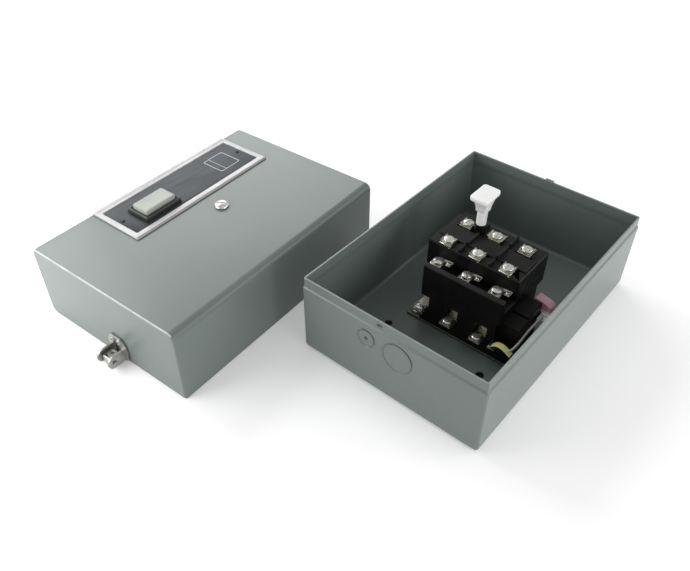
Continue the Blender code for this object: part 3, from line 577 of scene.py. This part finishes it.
def base_shell():
    """Drawn tray with a pressed step below its rim."""
    edge = 0.4
    steps = [step / 6 for step in range(7)]
    outside = quarter_bend(FLOOR_BEND) + [(SHOULDER - 0.6, 0.0)]
    outside += [(SHOULDER + LIP_RISE * t, LIP_STEP * t * t * (3 - 2 * t)) for t in steps]
    outside += [(BASE_DEPTH - 1.2, LIP_STEP), (BASE_DEPTH - edge, LIP_STEP),
                (BASE_DEPTH - edge * 0.3, LIP_STEP + edge * 0.3), (BASE_DEPTH, LIP_STEP + edge)]
    inside = [(SHEET + rise, SHEET + inset) for rise, inset in quarter_bend(FLOOR_BEND - SHEET)]
    inside += [(SHOULDER - 5.0 + LIP_RISE * 3 * t, SHEET + LIP_STEP * t * t * (3 - 2 * t))
               for t in steps]
    inner = LIP_STEP + SHEET
    inside += [(BASE_DEPTH - 1.2, inner), (BASE_DEPTH - edge, inner),
               (BASE_DEPTH - edge * 0.3, inner - edge * 0.3), (BASE_DEPTH, inner - edge)]
    bm = skin([ring_at(z, inset) for z, inset in outside + inside[::-1]])
    end = LENGTH / 2
    for side in (-1, 1):
        face = (KNOCKOUT_AT[0], side * end, KNOCKOUT_AT[1])
        bm = combined(bm, groove(KNOCKOUT_RADIUS, side, face))
    face = (DIMPLE_AT[0], -end, DIMPLE_AT[1])
    bm = combined(bm, groove(DIMPLE_RADIUS, -1, face))
    bm = bored(bm, 1.7, -1.0, 1.0, face, "Y", 24)
    for x, y in MOUNTING_HOLES:
        bm = bored(bm, MOUNTING_HOLE_RADIUS, -1.0, SHEET + 1.0, (x, y, 0.0), sides=32)
    key = (MOUNTING_HOLES[2][0], MOUNTING_HOLES[2][1] + 6.0)
    bm = combined(bm, around(key, (4.4, 12.0), (-1.0, SHEET + 1.0)))
    wall = end - LIP_STEP - SHEET / 2
    bm = combined(bm, around((-8.5, -wall), (5.0, 4.0), (71.0, 74.0)))
    bm = joined(bm, around((-2.0, wall), (8.0, SHEET - 0.2), (BASE_DEPTH - 2.0, BASE_DEPTH + 1.6)))
    shell = piece("base_shell", bm, PAINT, "enclosure", ("enclosure_base",),
                  angle=26)
    # The rim's top edge is drawn lighter: partly wear, partly a painted highlight.
    mark_sheen_and_wear(shell, lambda x, y, z: 0.34 * (z > BASE_DEPTH - 0.3))


def groove(radius, side, at):
    """A cutter for a shallow ring pressed into an end wall; side is the wall's own."""
    rings = [circle(radius + out, height * side, 64) for out, height in
             ((2.4, -0.5), (1.3, 0.3), (0.35, 0.8), (-0.25, 0.8), (-0.5, -0.5))]
    bm = skin(rings, closed=True)
    bm.transform(Matrix.Translation(at) @ Matrix.Rotation(math.radians(90), 4, "X"))
    return bm


# --- Cover --------------------------------------------------------------------------------

def arch(y, inset, half_x, top, bend, foot):
    """Cross-section of the cover: an arch with a round bend at each side."""
    bend = max(bend - inset, 0.5)
    half, top = half_x - inset, top - inset
    right = [(half - bend + bend * math.cos(turn), y, top - bend + bend * math.sin(turn))
             for turn in quarter_turn(10)]
    left = [(-x, y, z) for x, _, z in right[::-1]]
    low = [(half, y, foot), (half, y, 1.0)]
    return low + right + left + [(-x, y, z) for x, _, z in low[::-1]]


def arched_body(half_x, half_y, top, bend, fold, foot):
    """The arch pulled along y, its end faces folded in with a tight radius."""
    folds = quarter_bend(fold, 5)
    rings = [arch(-half_y + rise, inset, half_x, top, bend, foot) for rise, inset in folds]
    rings += [arch(half_y - rise, inset, half_x, top, bend, foot) for rise, inset in folds[::-1]]
    return skin(rings)


def cover_skin():
    """Folded cover: broad bends along its sides, tight folds along its ends."""
    half_x, half_y = WIDTH / 2, LENGTH / 2
    bm = arched_body(half_x, half_y, COVER_DEPTH, SIDE_BEND, END_FOLD, 0.0)
    bm = combined(bm, arched_body(half_x - SHEET, half_y - SHEET, COVER_DEPTH - SHEET,
                                  SIDE_BEND - SHEET, 0.6, -2.0))
    for (x, y), radius in ((COVER_SCREW_AT, 3.0), (BUTTON_AT, 4.4)):
        bm = bored(bm, radius, 60.0, 80.0, (x, y, 0.0), sides=32)
    arc = [(inset, rise) for rise, inset in quarter_bend(RELIEF_RADIUS, 10)]
    corner = [(-1.0, -1.0), (RELIEF_RADIUS, -1.0)] + arc + [(-1.0, RELIEF_RADIUS)]
    for side in (-1, 1):
        y = sorted((side * (half_y + 1.0), side * (half_y - SHEET - 0.6)))
        bm = combined(bm, extruded([(x - half_x, z) for x, z in corner], *y))
    shell = piece("cover_skin", bm, PAINT, "cover", ("cover_shell",), COVER,
                  soft=0.35, angle=60)
    inverse = COVER.inverted()

    # The cover's near fold is drawn lighter in a thin line: a painted highlight.
    def edge_sheen_and_wear(x, y, z):
        here = inverse @ (Vector((x, y, z)) * MM)
        rise, drop = half_y - abs(here.y), COVER_DEPTH - here.z
        fold = 1.4 * (1.0 - abs(rise - 0.65) / 0.65)
        return min(max(fold, 0.0), 1.0) if drop < END_FOLD - 0.01 else 0.0
    mark_sheen_and_wear(shell, edge_sheen_and_wear)


def nameplate():
    """Bright bezel with a bead round its edge, and the dark panel inside it."""
    left, right, ends = TRIM_BORDER
    outer = (TRIM_X[0], TRIM_Y[0], TRIM_X[1], TRIM_Y[1])
    inner = (TRIM_X[0] + left, TRIM_Y[0] + ends, TRIM_X[1] - right, TRIM_Y[1] - ends)
    profile = ((0.0, 0.0), (0.0, 0.6), (0.03, 1.1), (0.09, 1.5), (0.18, 1.75), (0.28, 1.8),
               (0.4, 1.7), (0.52, 1.5), (0.62, 1.42), (0.85, 1.42), (0.94, 1.3), (0.985, 1.1),
               (1.0, 0.8), (1.0, 0.0))
    bm = framed(outer, inner, 1.0, [(share, PLATE_LEVEL + z) for share, z in profile])
    piece("trim_bezel", bm, TRIM, "cover", ("nameplate_trim",), COVER, angle=40)

    gap = 0.3
    mid_x, mid_y = (inner[0] + inner[2]) / 2, (inner[1] + inner[3]) / 2
    half_x, half_y = (inner[2] - inner[0]) / 2 - gap, (inner[3] - inner[1]) / 2 - gap
    bm = skin([rectangle(half_x - inset, half_y - inset, 0.8, PLATE_LEVEL + z, (mid_x, mid_y), 3)
               for z, inset in ((0.0, 0.0), (0.75, 0.0), (0.93, 0.08), (1.0, 0.25))])
    bm = combined(bm, around(BUTTON_AT, BUTTON_OPENING, (60.0, 80.0)))
    piece("dark_panel", bm, SLATE, "cover", ("nameplate_panel",), COVER)

    top = PLATE_LEVEL + 1.0
    for number, at in enumerate(PANEL_PINS, start=1):
        pin = turned(((1.7, top - 0.4), (1.7, top + 0.25), (1.3, top + 0.6), (0.5, top + 0.78)),
                     (*at, 0.0), sides=28)
        piece(f"panel_pin_{number}", pin, PHENOLIC, "cover", place=COVER)

    below, above = top - 0.05, top + 0.06
    line = ((0.0, below), (0.0, above), (1.0, above), (1.0, below))
    field = PRINTED_FIELD
    within = [edge + PRINTED_WIDTH * side for edge, side in zip(field, (1, 1, -1, -1))]
    bm = framed(field, within, 2.0, line)
    bm = joined(bm, block((field[0] + 0.4, field[2] - 0.4), (60.6, 61.3), (below, above)))
    piece("panel_field", bm, PRINT, "cover", place=COVER)


def reset_button():
    """Sage cap with a shallow dish, in a black frame."""
    half_x, half_y = BUTTON_SIZE[0] / 2, BUTTON_SIZE[1] / 2
    low, high = PLATE_LEVEL, BUTTON_FRAME_TOP
    outer, inner = [(-half_x - gap, -half_y - gap, half_x + gap, half_y + gap)
                    for gap in (3.5, 0.4)]
    profile = ((0.0, low), (0.0, high - 1.6), (0.06, high - 0.7), (0.2, high - 0.15),
               (0.32, high), (0.5, high), (0.62, high - 0.12), (0.72, high - 0.6),
               (0.95, high - 1.3), (1.0, high - 1.8), (1.0, low))
    piece("button_surround", framed(outer, inner, 1.2, profile, BUTTON_AT), FRAME_BLACK, "cover",
          ("button_frame",), COVER, angle=50)

    top = BUTTON_TOP
    levels = ((BUTTON_FLOOR, 0.0), (top - 1.3, 0.0), (top - 0.75, 0.12), (top - 0.3, 0.4),
              (top - 0.08, 0.8), (top, 1.3), (top - 0.04, 2.2), (top - 0.16, 3.6),
              (top - 0.26, 5.4), (top - 0.3, 7.4))
    bm = skin([rectangle(half_x - inset, half_y - inset, max(1.3 - inset * 0.3, 0.4), z, BUTTON_AT)
               for z, inset in levels])
    at = (*BUTTON_AT, 0.0)
    bm = bored(bm, 6.6, 70.0, top - 1.8, at, sides=36)
    stem = ((3.3, 58.0), (3.9, 58.8), (3.9, 66.4), (5.6, 66.4), (5.6, 68.6), (3.9, 68.6),
            (3.9, top - 1.2))
    bm = joined(bm, turned(stem, at, sides=36))
    piece("button_cap", bm, SAGE, "reset_button", ("reset_button",), COVER, angle=40)


def cover_screw():
    """Captive slotted screw with a low dome, and its thread under the cover."""
    at = (*COVER_SCREW_AT, PLATE_LEVEL)
    low, pitch, turns = -30.0, 0.8, 26
    profile = [(1.4, low)]
    for turn in range(turns):
        profile += [(2.0, low + pitch * turn), (2.4, low + pitch * (turn + 0.5))]
    profile += [(2.2, low + pitch * turns + 0.5), (2.4, 0.0), (6.3, 0.0), (6.6, 0.25), (6.6, 0.9)]
    bm = turned(profile + dome(6.45, 1.2, 2.1, (0, 15, 30, 45, 60, 75, 86)), at)
    slot = around((0.0, 0.0), (16.0, 1.9), (1.2, 6.0))
    slot.transform(Matrix.Translation(at) @ Matrix.Rotation(0.6, 4, "Z"))
    piece("captive_screw", combined(bm, slot), ZINC, "cover_screw", ("cover_screw",),
          COVER, angle=40)


def hasp():
    """Clevis riveted to the end wall, and the latch that swings on its pin."""
    wall = -LENGTH / 2 - 0.3
    out, pivot_z = wall + HASP_PIVOT[0], HASP_PIVOT[1]
    outline = ((-11, 2.0), (11, 2.0), (11, 18.0), (6.5, 25.0), (-6.5, 25.0), (-11, 18.0))
    outline = filleted([(HASP_X + x, z) for x, z in outline], 3.0, 5)
    bm = extruded(outline, wall - 1.8, wall)
    bm = combined(bm, around((HASP_X, wall), (8.4, 6.0), (4.4, 16.6)))
    turns = [math.radians(-90 + 10 * step) for step in range(19)]
    radius = 6.0
    ear = [(wall - 1.0, pivot_z + radius), (wall - 1.0, pivot_z - radius)]
    ear += [(out - radius * math.cos(turn), pivot_z + radius * math.sin(turn)) for turn in turns]
    for x in (HASP_X - 7.8, HASP_X + 5.8):
        bm = joined(bm, extruded(ear, x, x + 2.0, "YZ"))
    origin = (HASP_X, out, pivot_z)
    bm = bored(bm, 1.8, -12.0, 12.0, origin, "X", 32)
    for x in (-3.6, 3.6):
        at = (HASP_X + x, wall, 20.6)
        bm = joined(bm, turned(((2.6, 1.0), (2.6, 2.3), (2.3, 2.8), (1.7, 3.0)), at, "Y", 32))
        bm = combined(bm, turned(((1.1, 2.2), (1.2, 4.0)), at, "Y", 24))
    piece("hasp_clevis", bm, HASP_ZINC, "cover", ("hasp_bracket",), COVER, soft=0.25)

    bm = turned(((1.0, -9.4), (1.5, -8.9), (1.5, 8.9), (1.0, 9.4)), origin, "X", 32)
    lever = ((-2.2, -6.4), (2.2, -6.4), (2.2, 2.6), (-2.2, 2.6))
    lever = filleted([(out + y, pivot_z + z) for y, z in lever], 1.6, 5)
    bm = joined(bm, extruded(lever, HASP_X - 5.2, HASP_X + 5.2, "YZ"))
    tongue = around((HASP_X, out + 4.45), (9.6, 6.9), (pivot_z + 0.7, pivot_z + 2.5))
    slot = around((HASP_X, out + 0.1), (6.8, 1.6), (pivot_z + 0.9, pivot_z + 4.0))
    bm = combined(joined(bm, tongue), slot)
    bm = bored(bm, 1.6, 0.0, 4.0, (HASP_X, out + 4.7, pivot_z))
    piece("latch_tongue", bm, HASP_ZINC, "hasp_latch", ("hasp_latch",), COVER,
          soft=0.25)


# --- Starter ------------------------------------------------------------------------------

def slotted_head(name, node, turn, lift=0.0):
    """Binding-head screw in the place of a CAD screw, its seat raised by lift."""
    low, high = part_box(node)
    at = ((low.x + high.x) / MM / 2, (low.y + high.y) / MM / 2, 0.0)
    head = (high.x - low.x) / MM / 2
    top, bottom = high.z / MM, low.z / MM
    seat = top - 2.6 + lift
    tall = top - seat
    profile = [(1.5, bottom), (1.9, bottom + 0.5), (1.9, seat), (head - 0.15, seat),
               (head, seat + 0.15), (head, seat + tall * 0.42)]
    profile += dome(head - 0.12, seat + tall * 0.54, tall * 0.46, (0, 20, 40, 60, 80))
    bm = turned(profile, at, sides=40)
    slot = around((0.0, 0.0), (head * 2 + 2, 1.4), (seat + tall * 0.25, top + 1.0))
    slot.transform(Matrix.Translation(at) @ Matrix.Rotation(turn, 4, "Z"))
    piece(name, combined(bm, slot), ZINC, "enclosure", (node,), angle=40)
    return at, seat


def clamp(name, at, seat, half_x, half_y):
    """Square pressure plate under a terminal screw, its sides turned up."""
    low = seat - 0.95
    outline = ((-half_x, low), (half_x, low), (half_x, seat + 0.7), (half_x - 0.8, seat + 0.7),
               (half_x - 0.9, seat - 0.1), (-half_x + 0.9, seat - 0.1), (-half_x + 0.8, seat + 0.7),
               (-half_x, seat + 0.7))
    outline = [(at[0] + x, z) for x, z in outline]
    bm = extruded(outline, at[1] - half_y, at[1] + half_y)
    bm = bored(bm, 2.1, low - 1.0, seat + 1.0, at)
    piece(name, bm, CLAMP, "enclosure", soft=0.22)


def terminals():
    """Screws and pressure plates of the four rows of terminals."""
    for pole in (1, 2, 3):
        for row, turn in (("line", 0.4 + 0.7 * pole), ("load", 0.4 - 0.7 * pole)):
            at, seat = slotted_head(f"{row}_head_{pole}", f"{row}_screw_{pole}", turn, CLAMP_LIFT)
            wide = 7.2 if (row, pole) == ("line", 2) else 5.5
            clamp(f"{row}_clamp_{pole}", at, seat, wide, 5.0)
        slotted_head(f"heater_head_{pole}", f"heater_screw_{pole}", 1.1 * pole)
        at, seat = slotted_head(f"motor_head_{pole}", f"motor_screw_{pole}", 0.9 * pole, CLAMP_LIFT)
        clamp(f"motor_clamp_{pole}", at, seat, 5.0, 4.3)
    for number in (1, 2):
        slotted_head(f"plate_head_{number}", f"plate_screw_{number}", float(number))


def load_straps():
    """Each pole's strap: contact foot, top plate, leg moulded into the block, heater tab."""
    bends = ((5.7, 55.3), (5.7, 56.8), (0.0, 56.8), (0.0, 71.8), (-11.6, 71.8), (-11.6, 70.3),
             (-1.5, 70.3), (-1.5, 55.3))
    for pole, x in enumerate(POLE_X, start=1):
        bm = extruded(bends, x - 5.2, x + 5.2, "YZ")
        bm = joined(bm, block((x + 6.4, x + 10.8), (-11.6, -10.1), (55.6, 69.6)))
        bm = joined(bm, block((x + 3.0, x + 10.8), (-11.6, -8.0), (68.1, 69.6)))
        bm = joined(bm, block((x + 3.0, x + 5.2), (-11.6, -10.1), (68.1, 71.0)))
        tab = filleted(((x - 5.2, -24.0), (x + 5.2, -24.0), (x + 5.2, -14.6), (x + 6.4, -14.6),
                        (x + 6.4, -18.4), (x + 10.8, -18.4), (x + 10.8, -10.1), (x - 3.6, -12.9),
                        (x - 5.2, -14.4)), 0.5, 2)
        bm = joined(bm, extruded(tab, 55.6, 57.1, "XY"))
        bm = joined(bm, turned(((1.9, 56.5), (1.9, 57.9), (1.5, 58.5), (0.7, 58.8)),
                               (x + 8.6, -15.9, 0.0), sides=28))
        bm = bored(bm, 2.2, 54.0, 59.0, (x, -18.8, 0.0))
        bm = bored(bm, 2.2, 69.0, 73.0, (x, -5.2, 0.0))
        piece(f"load_strap_{pole}", bm, NICKEL, "enclosure", (f"load_terminal_{pole}",),
              soft=0.2)


def overload_leaf():
    """Curved brass leaf of the overload contact, riveted to its plate."""
    outline = [(44.0 + 18.0 * t, 19.6 + 4.6 * math.sin(math.pi * t ** 0.8)) for t in
               [step / 12 for step in range(13)]]
    outline += [(x, z + 0.6) for x, z in outline[::-1]]
    bm = extruded(outline, -42.6, -36.8)
    piece("brass_leaf", bm, BRASS, "enclosure", ("contact_strip",), soft=0.15)
    bm = block((41.5, 48.5), (-43.6, -36.0), (18.6, 19.6))
    bm = joined(bm, turned(((1.5, 19.0), (1.5, 20.3), (1.1, 20.8), (0.5, 21.0)), (43.4, -41.8, 0.0),
                           sides=24))
    piece("leaf_plate", bm, CLAMP, "enclosure", soft=0.2)


def coil_connector():
    """Red terminal block with a sloping top on its white foot."""
    outline = filleted(((50.5, 30.2), (66.2, 30.2), (66.2, 34.6), (62.5, 37.0), (50.5, 39.6)), 1.0)
    bm = extruded(outline, 13.6, 22.6)
    bm = combined(bm, around((60.5, 13.6), (3.4, 3.0), (31.6, 34.6)))
    piece("coil_connector_top", bm, RED, "enclosure", ("coil_terminal_block",),
          soft=0.6)
    bm = block((51.5, 66.0), (12.8, 24.4), (4.3, 29.9))
    bm = joined(bm, block((60.2, 66.8), (2.6, 13.0), (4.3, 29.2)))
    bm = combined(bm, block((59.0, 68.0), (8.6, 9.6), (26.0, 31.0)))
    bm = joined(bm, block((42.3, 52.0), (14.0, 18.0), (10.0, 14.0)))
    piece("coil_connector_foot", bm, WHITE, "enclosure", ("coil_terminal_base",),
          soft=0.5)


def control_lead():
    """Short factory lead along the wall, from the coil connector to the overload leaf.

    Its middle runs through the knots on a Catmull-Rom curve.
    """
    knots = [Vector(point) for point in
             ((63.6, 5.6, 27.5), (63.9, 4.2, 31.5), (64.4, 0.0, 34.2), (64.4, -12.0, 34.8),
              (64.0, -24.0, 33.2), (63.2, -33.0, 29.0), (61.0, -37.6, 24.2), (58.0, -38.2, 21.2))]
    sides, steps = 16, 8
    turns = [2 * math.pi * n / sides for n in range(sides)]
    rings = []
    for k in range(len(knots) - 1):
        before, here = knots[max(k - 1, 0)], knots[k]
        after, beyond = knots[k + 1], knots[min(k + 2, len(knots) - 1)]
        slope, bend = after - before, 2 * before - 5 * here + 4 * after - beyond
        twist = 3 * here - before - 3 * after + beyond
        for step in range(steps + (k == len(knots) - 2)):
            t = step / steps
            at = 0.5 * (2 * here + slope * t + bend * t ** 2 + twist * t ** 3)
            along = (slope + 2 * bend * t + 3 * twist * t ** 2).normalized()
            side = along.cross(Vector((1, 0, 0))).normalized()
            up = side.cross(along)
            rings.append([at + LEAD_RADIUS * (side * math.cos(turn) + up * math.sin(turn))
                          for turn in turns])
    piece("control_lead", skin(rings), WIRE, "enclosure", ("control_wire",),
          angle=60)


def barriers():
    """Low walls between the poles, standing on the contact block at both rows of terminals."""
    for number, x in enumerate((POLE_X[0] + POLE_PITCH / 2, POLE_X[1] + POLE_PITCH / 2), start=1):
        for row, y in (("line", (21.5, 36.2)), ("load", (-11.2, -2.5))):
            bm = block((x - 1.1, x + 1.1), y, (BLOCK_TOP - 0.4, BLOCK_TOP + 3.4))
            for vert in bm.verts:
                if vert.co.z > BLOCK_TOP + 1.0:
                    vert.co.x = x + (vert.co.x - x) * 0.75
            piece(f"{row}_barrier_{number}", bm, PHENOLIC, "enclosure",
                  soft=0.35)


def reset_rod():
    """White push rod: round stem, square neck that flares, broad pad."""
    levels = (  # z, half x, half y, corner radius
        (14.3, 1.6, 1.6, 1.6), (14.8, 2.0, 2.0, 2.0), (45.6, 2.0, 2.0, 2.0),
        (46.0, 4.2, 4.2, 4.2), (46.4, 4.4, 4.4, 4.4), (91.4, 4.4, 4.4, 4.4),
        (92.0, 4.7, 5.0, 3.4), (92.6, 5.0, 5.4, 2.0), (95.6, 5.1, 5.6, 2.0),
        (96.6, 5.3, 6.0, 1.9), (104.2, 6.7, 8.4, 2.0), (104.7, 7.0, 9.3, 2.2),
        (104.75, 7.6, 11.4, 2.4), (105.1, 8.05, 11.8, 2.6), (105.7, 8.25, 12.0, 2.7),
        (107.9, 8.25, 12.0, 2.7), (108.6, 8.1, 11.85, 2.6), (109.05, 7.7, 11.45, 2.4),
        (109.25, 7.1, 10.85, 2.1), (ROD_TOP, 6.2, 9.9, 1.8))
    bm = skin([rectangle(half_x, half_y, corner, z, ROD_AT, 6)
               for z, half_x, half_y, corner in levels])
    piece("push_rod", bm, WHITE, "reset_rod", ("reset_rod",), angle=50)


def springs():
    """Return springs beside the magnet, and the spring under the reset button."""
    for side in ("left", "right"):
        node = f"return_spring_{side}"
        low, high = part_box(node)
        middle = (low + high) / 2 / MM
        bm = helix(2.9, 0.45, 10, low.z / MM, high.z / MM, (middle.x, middle.y))
        spring = piece(f"return_coil_{side}", bm, STEEL, "enclosure", (node,),
                       angle=60)
        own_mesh(spring)
    bm = helix(5.2, 0.38, 4, PLATE_LEVEL + 0.1, BUTTON_TOP - 2.1, BUTTON_AT)
    spring = piece("button_coil", bm, STEEL, "cover", ("button_spring",), COVER,
                   angle=60)
    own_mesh(spring)


def kept_nodes():
    """The CAD nodes whose shape is right, with their finishes."""
    for node, width in (("magnet_housing", 0.7), ("contact_block", 0.6), ("arc_cover", 0.4),
                        ("overload_housing", 0.7), ("contact_carrier", 0.4)):
        keep(node, PHENOLIC, width)
    for kind in ("line", "motor"):
        for pole in (1, 2, 3):
            keep(f"{kind}_terminal_{pole}", NICKEL, 0.25)
    for pole in (1, 2, 3):
        keep(f"heater_element_{pole}", ALLOY, 0.2)
        keep(f"moving_contact_{pole}", COPPER, 0.2)
    for side in ("left", "right"):
        keep(f"shading_ring_{side}", COPPER, 0.15)
    keep("mounting_plate", DULL_ZINC, 0.4)
    keep("screw_retainer", ZINC, 0.2)
    keep("magnet_yoke", CORE, 0.15)
    keep("armature", CORE, 0.3)
    keep("coil_bobbin", BOBBIN, 0.3)
    keep("coil_winding", TAPE, 0.6)
    keep("reset_lever", WHITE, 0.3)


# --- Stage, in metres ---------------------------------------------------------------------

CAMERA_AT, CAMERA_LOOKS = (0.2149, -0.4286, 0.4505), (-0.4798, 0.5698, -0.6672)
SENSOR_WIDTH, LENS = 36.0, 37.71  # millimetres
FLOOR_HALF, FLOOR_LEVEL = 6.0, -0.0004
# A dark sheet under the enclosure: painted shade, seen only through the mounting holes.
SHADE_SHEET_HALF, SHADE_SHEET_LEVEL = (0.075, 0.115), -0.0002
FLOOR_GLOW = 0.2
AMBIENT = 0.52
LIGHTS = (  # name, place, target, size, power
    ("left_high", (-1.30, -0.02, 0.90), (-0.10, -0.05, 0.0), (0.7, 0.7), 8.7),
    ("front_close", (-0.37, -0.46, 0.19), (-0.24, -0.23, 0.03), (0.36, 0.22), 1.22),
    ("right_low", (0.85, -0.10, 0.22), (0.09, -0.04, 0.04), (0.5, 0.3), 2.9),
    ("rear_left", (-1.20, 0.80, 0.80), (-0.15, 0.0, 0.05), (0.8, 0.6), 6.2),
    ("rear_right", (1.00, 0.90, 0.60), (0.05, 0.0, 0.05), (0.8, 0.6), 3.9),
)


def aimed(thing, place, direction):
    """Put a camera or a light in the scene, looking along direction."""
    thing.location = place
    thing.rotation_mode = "QUATERNION"
    thing.rotation_quaternion = Vector(direction).to_track_quat("-Z", "Y")
    bpy.context.scene.collection.objects.link(thing)


def add_camera():
    """Camera in front, to the right and above, looking down on the enclosure and its cover."""
    data = bpy.data.cameras.new("camera")
    data.sensor_width = SENSOR_WIDTH
    data.lens = LENS
    thing = bpy.data.objects.new("camera", data)
    aimed(thing, CAMERA_AT, CAMERA_LOOKS)
    bpy.context.scene.camera = thing


def add_floor():
    """Pale floor, and a dark sheet under the enclosure, painted shade that only the mounting holes
    show.
    """
    s = Surface("pale_floor", Emission_Color=(1.0, 1.0, 1.0, 1.0), Emission_Strength=FLOOR_GLOW)
    s.colour(s.mixed(s.ranged(s.noise(4.0, 3.0), 0.0, 1.0), (0.93, 0.93, 0.93), (0.90, 0.90, 0.90)))
    s.roughness(s.ranged(s.noise(30.0, 3.0), 0.75, 0.85))
    bm = bmesh.new()
    bmesh.ops.create_grid(bm, x_segments=8, y_segments=8, size=FLOOR_HALF)
    put_down("floor", bm, s.material, FLOOR_LEVEL)
    bm = bmesh.new()
    bmesh.ops.create_grid(bm, x_segments=2, y_segments=2, size=1.0)
    bmesh.ops.scale(bm, vec=(*SHADE_SHEET_HALF, 1.0), verts=bm.verts)
    put_down("shade_sheet", bm, PHENOLIC, SHADE_SHEET_LEVEL)


def put_down(name, bm, finish, level):
    """A flat thing that isn't part of the object."""
    mesh = bpy.data.meshes.new(name)
    bm.to_mesh(mesh)
    bm.free()
    mesh.materials.append(finish)
    thing = bpy.data.objects.new(name, mesh)
    thing.location.z = level
    bpy.context.scene.collection.objects.link(thing)


def soft_light(name, place, target, size, power):
    """A rectangular light aimed at target."""
    data = bpy.data.lights.new(name, "AREA")
    data.shape = "RECTANGLE"
    data.size, data.size_y = size
    data.energy = power
    thing = bpy.data.objects.new(name, data)
    aimed(thing, place, Vector(target) - Vector(place))


def add_light():
    """White surroundings and the soft lights."""
    world = bpy.data.worlds.new("studio")
    world.use_nodes = True
    background = world.node_tree.nodes["Background"]
    background.inputs["Color"].default_value = (1.0, 1.0, 1.0, 1.0)
    background.inputs["Strength"].default_value = AMBIENT
    bpy.context.scene.world = world
    for light in LIGHTS:
        soft_light(*light)
    bpy.context.scene.view_settings.view_transform = "Standard"


add_camera()
base_shell()
cover_skin()
nameplate()
reset_button()
cover_screw()
hasp()
terminals()
load_straps()
overload_leaf()
coil_connector()
control_lead()
barriers()
reset_rod()
springs()
kept_nodes()
add_floor()
add_light()
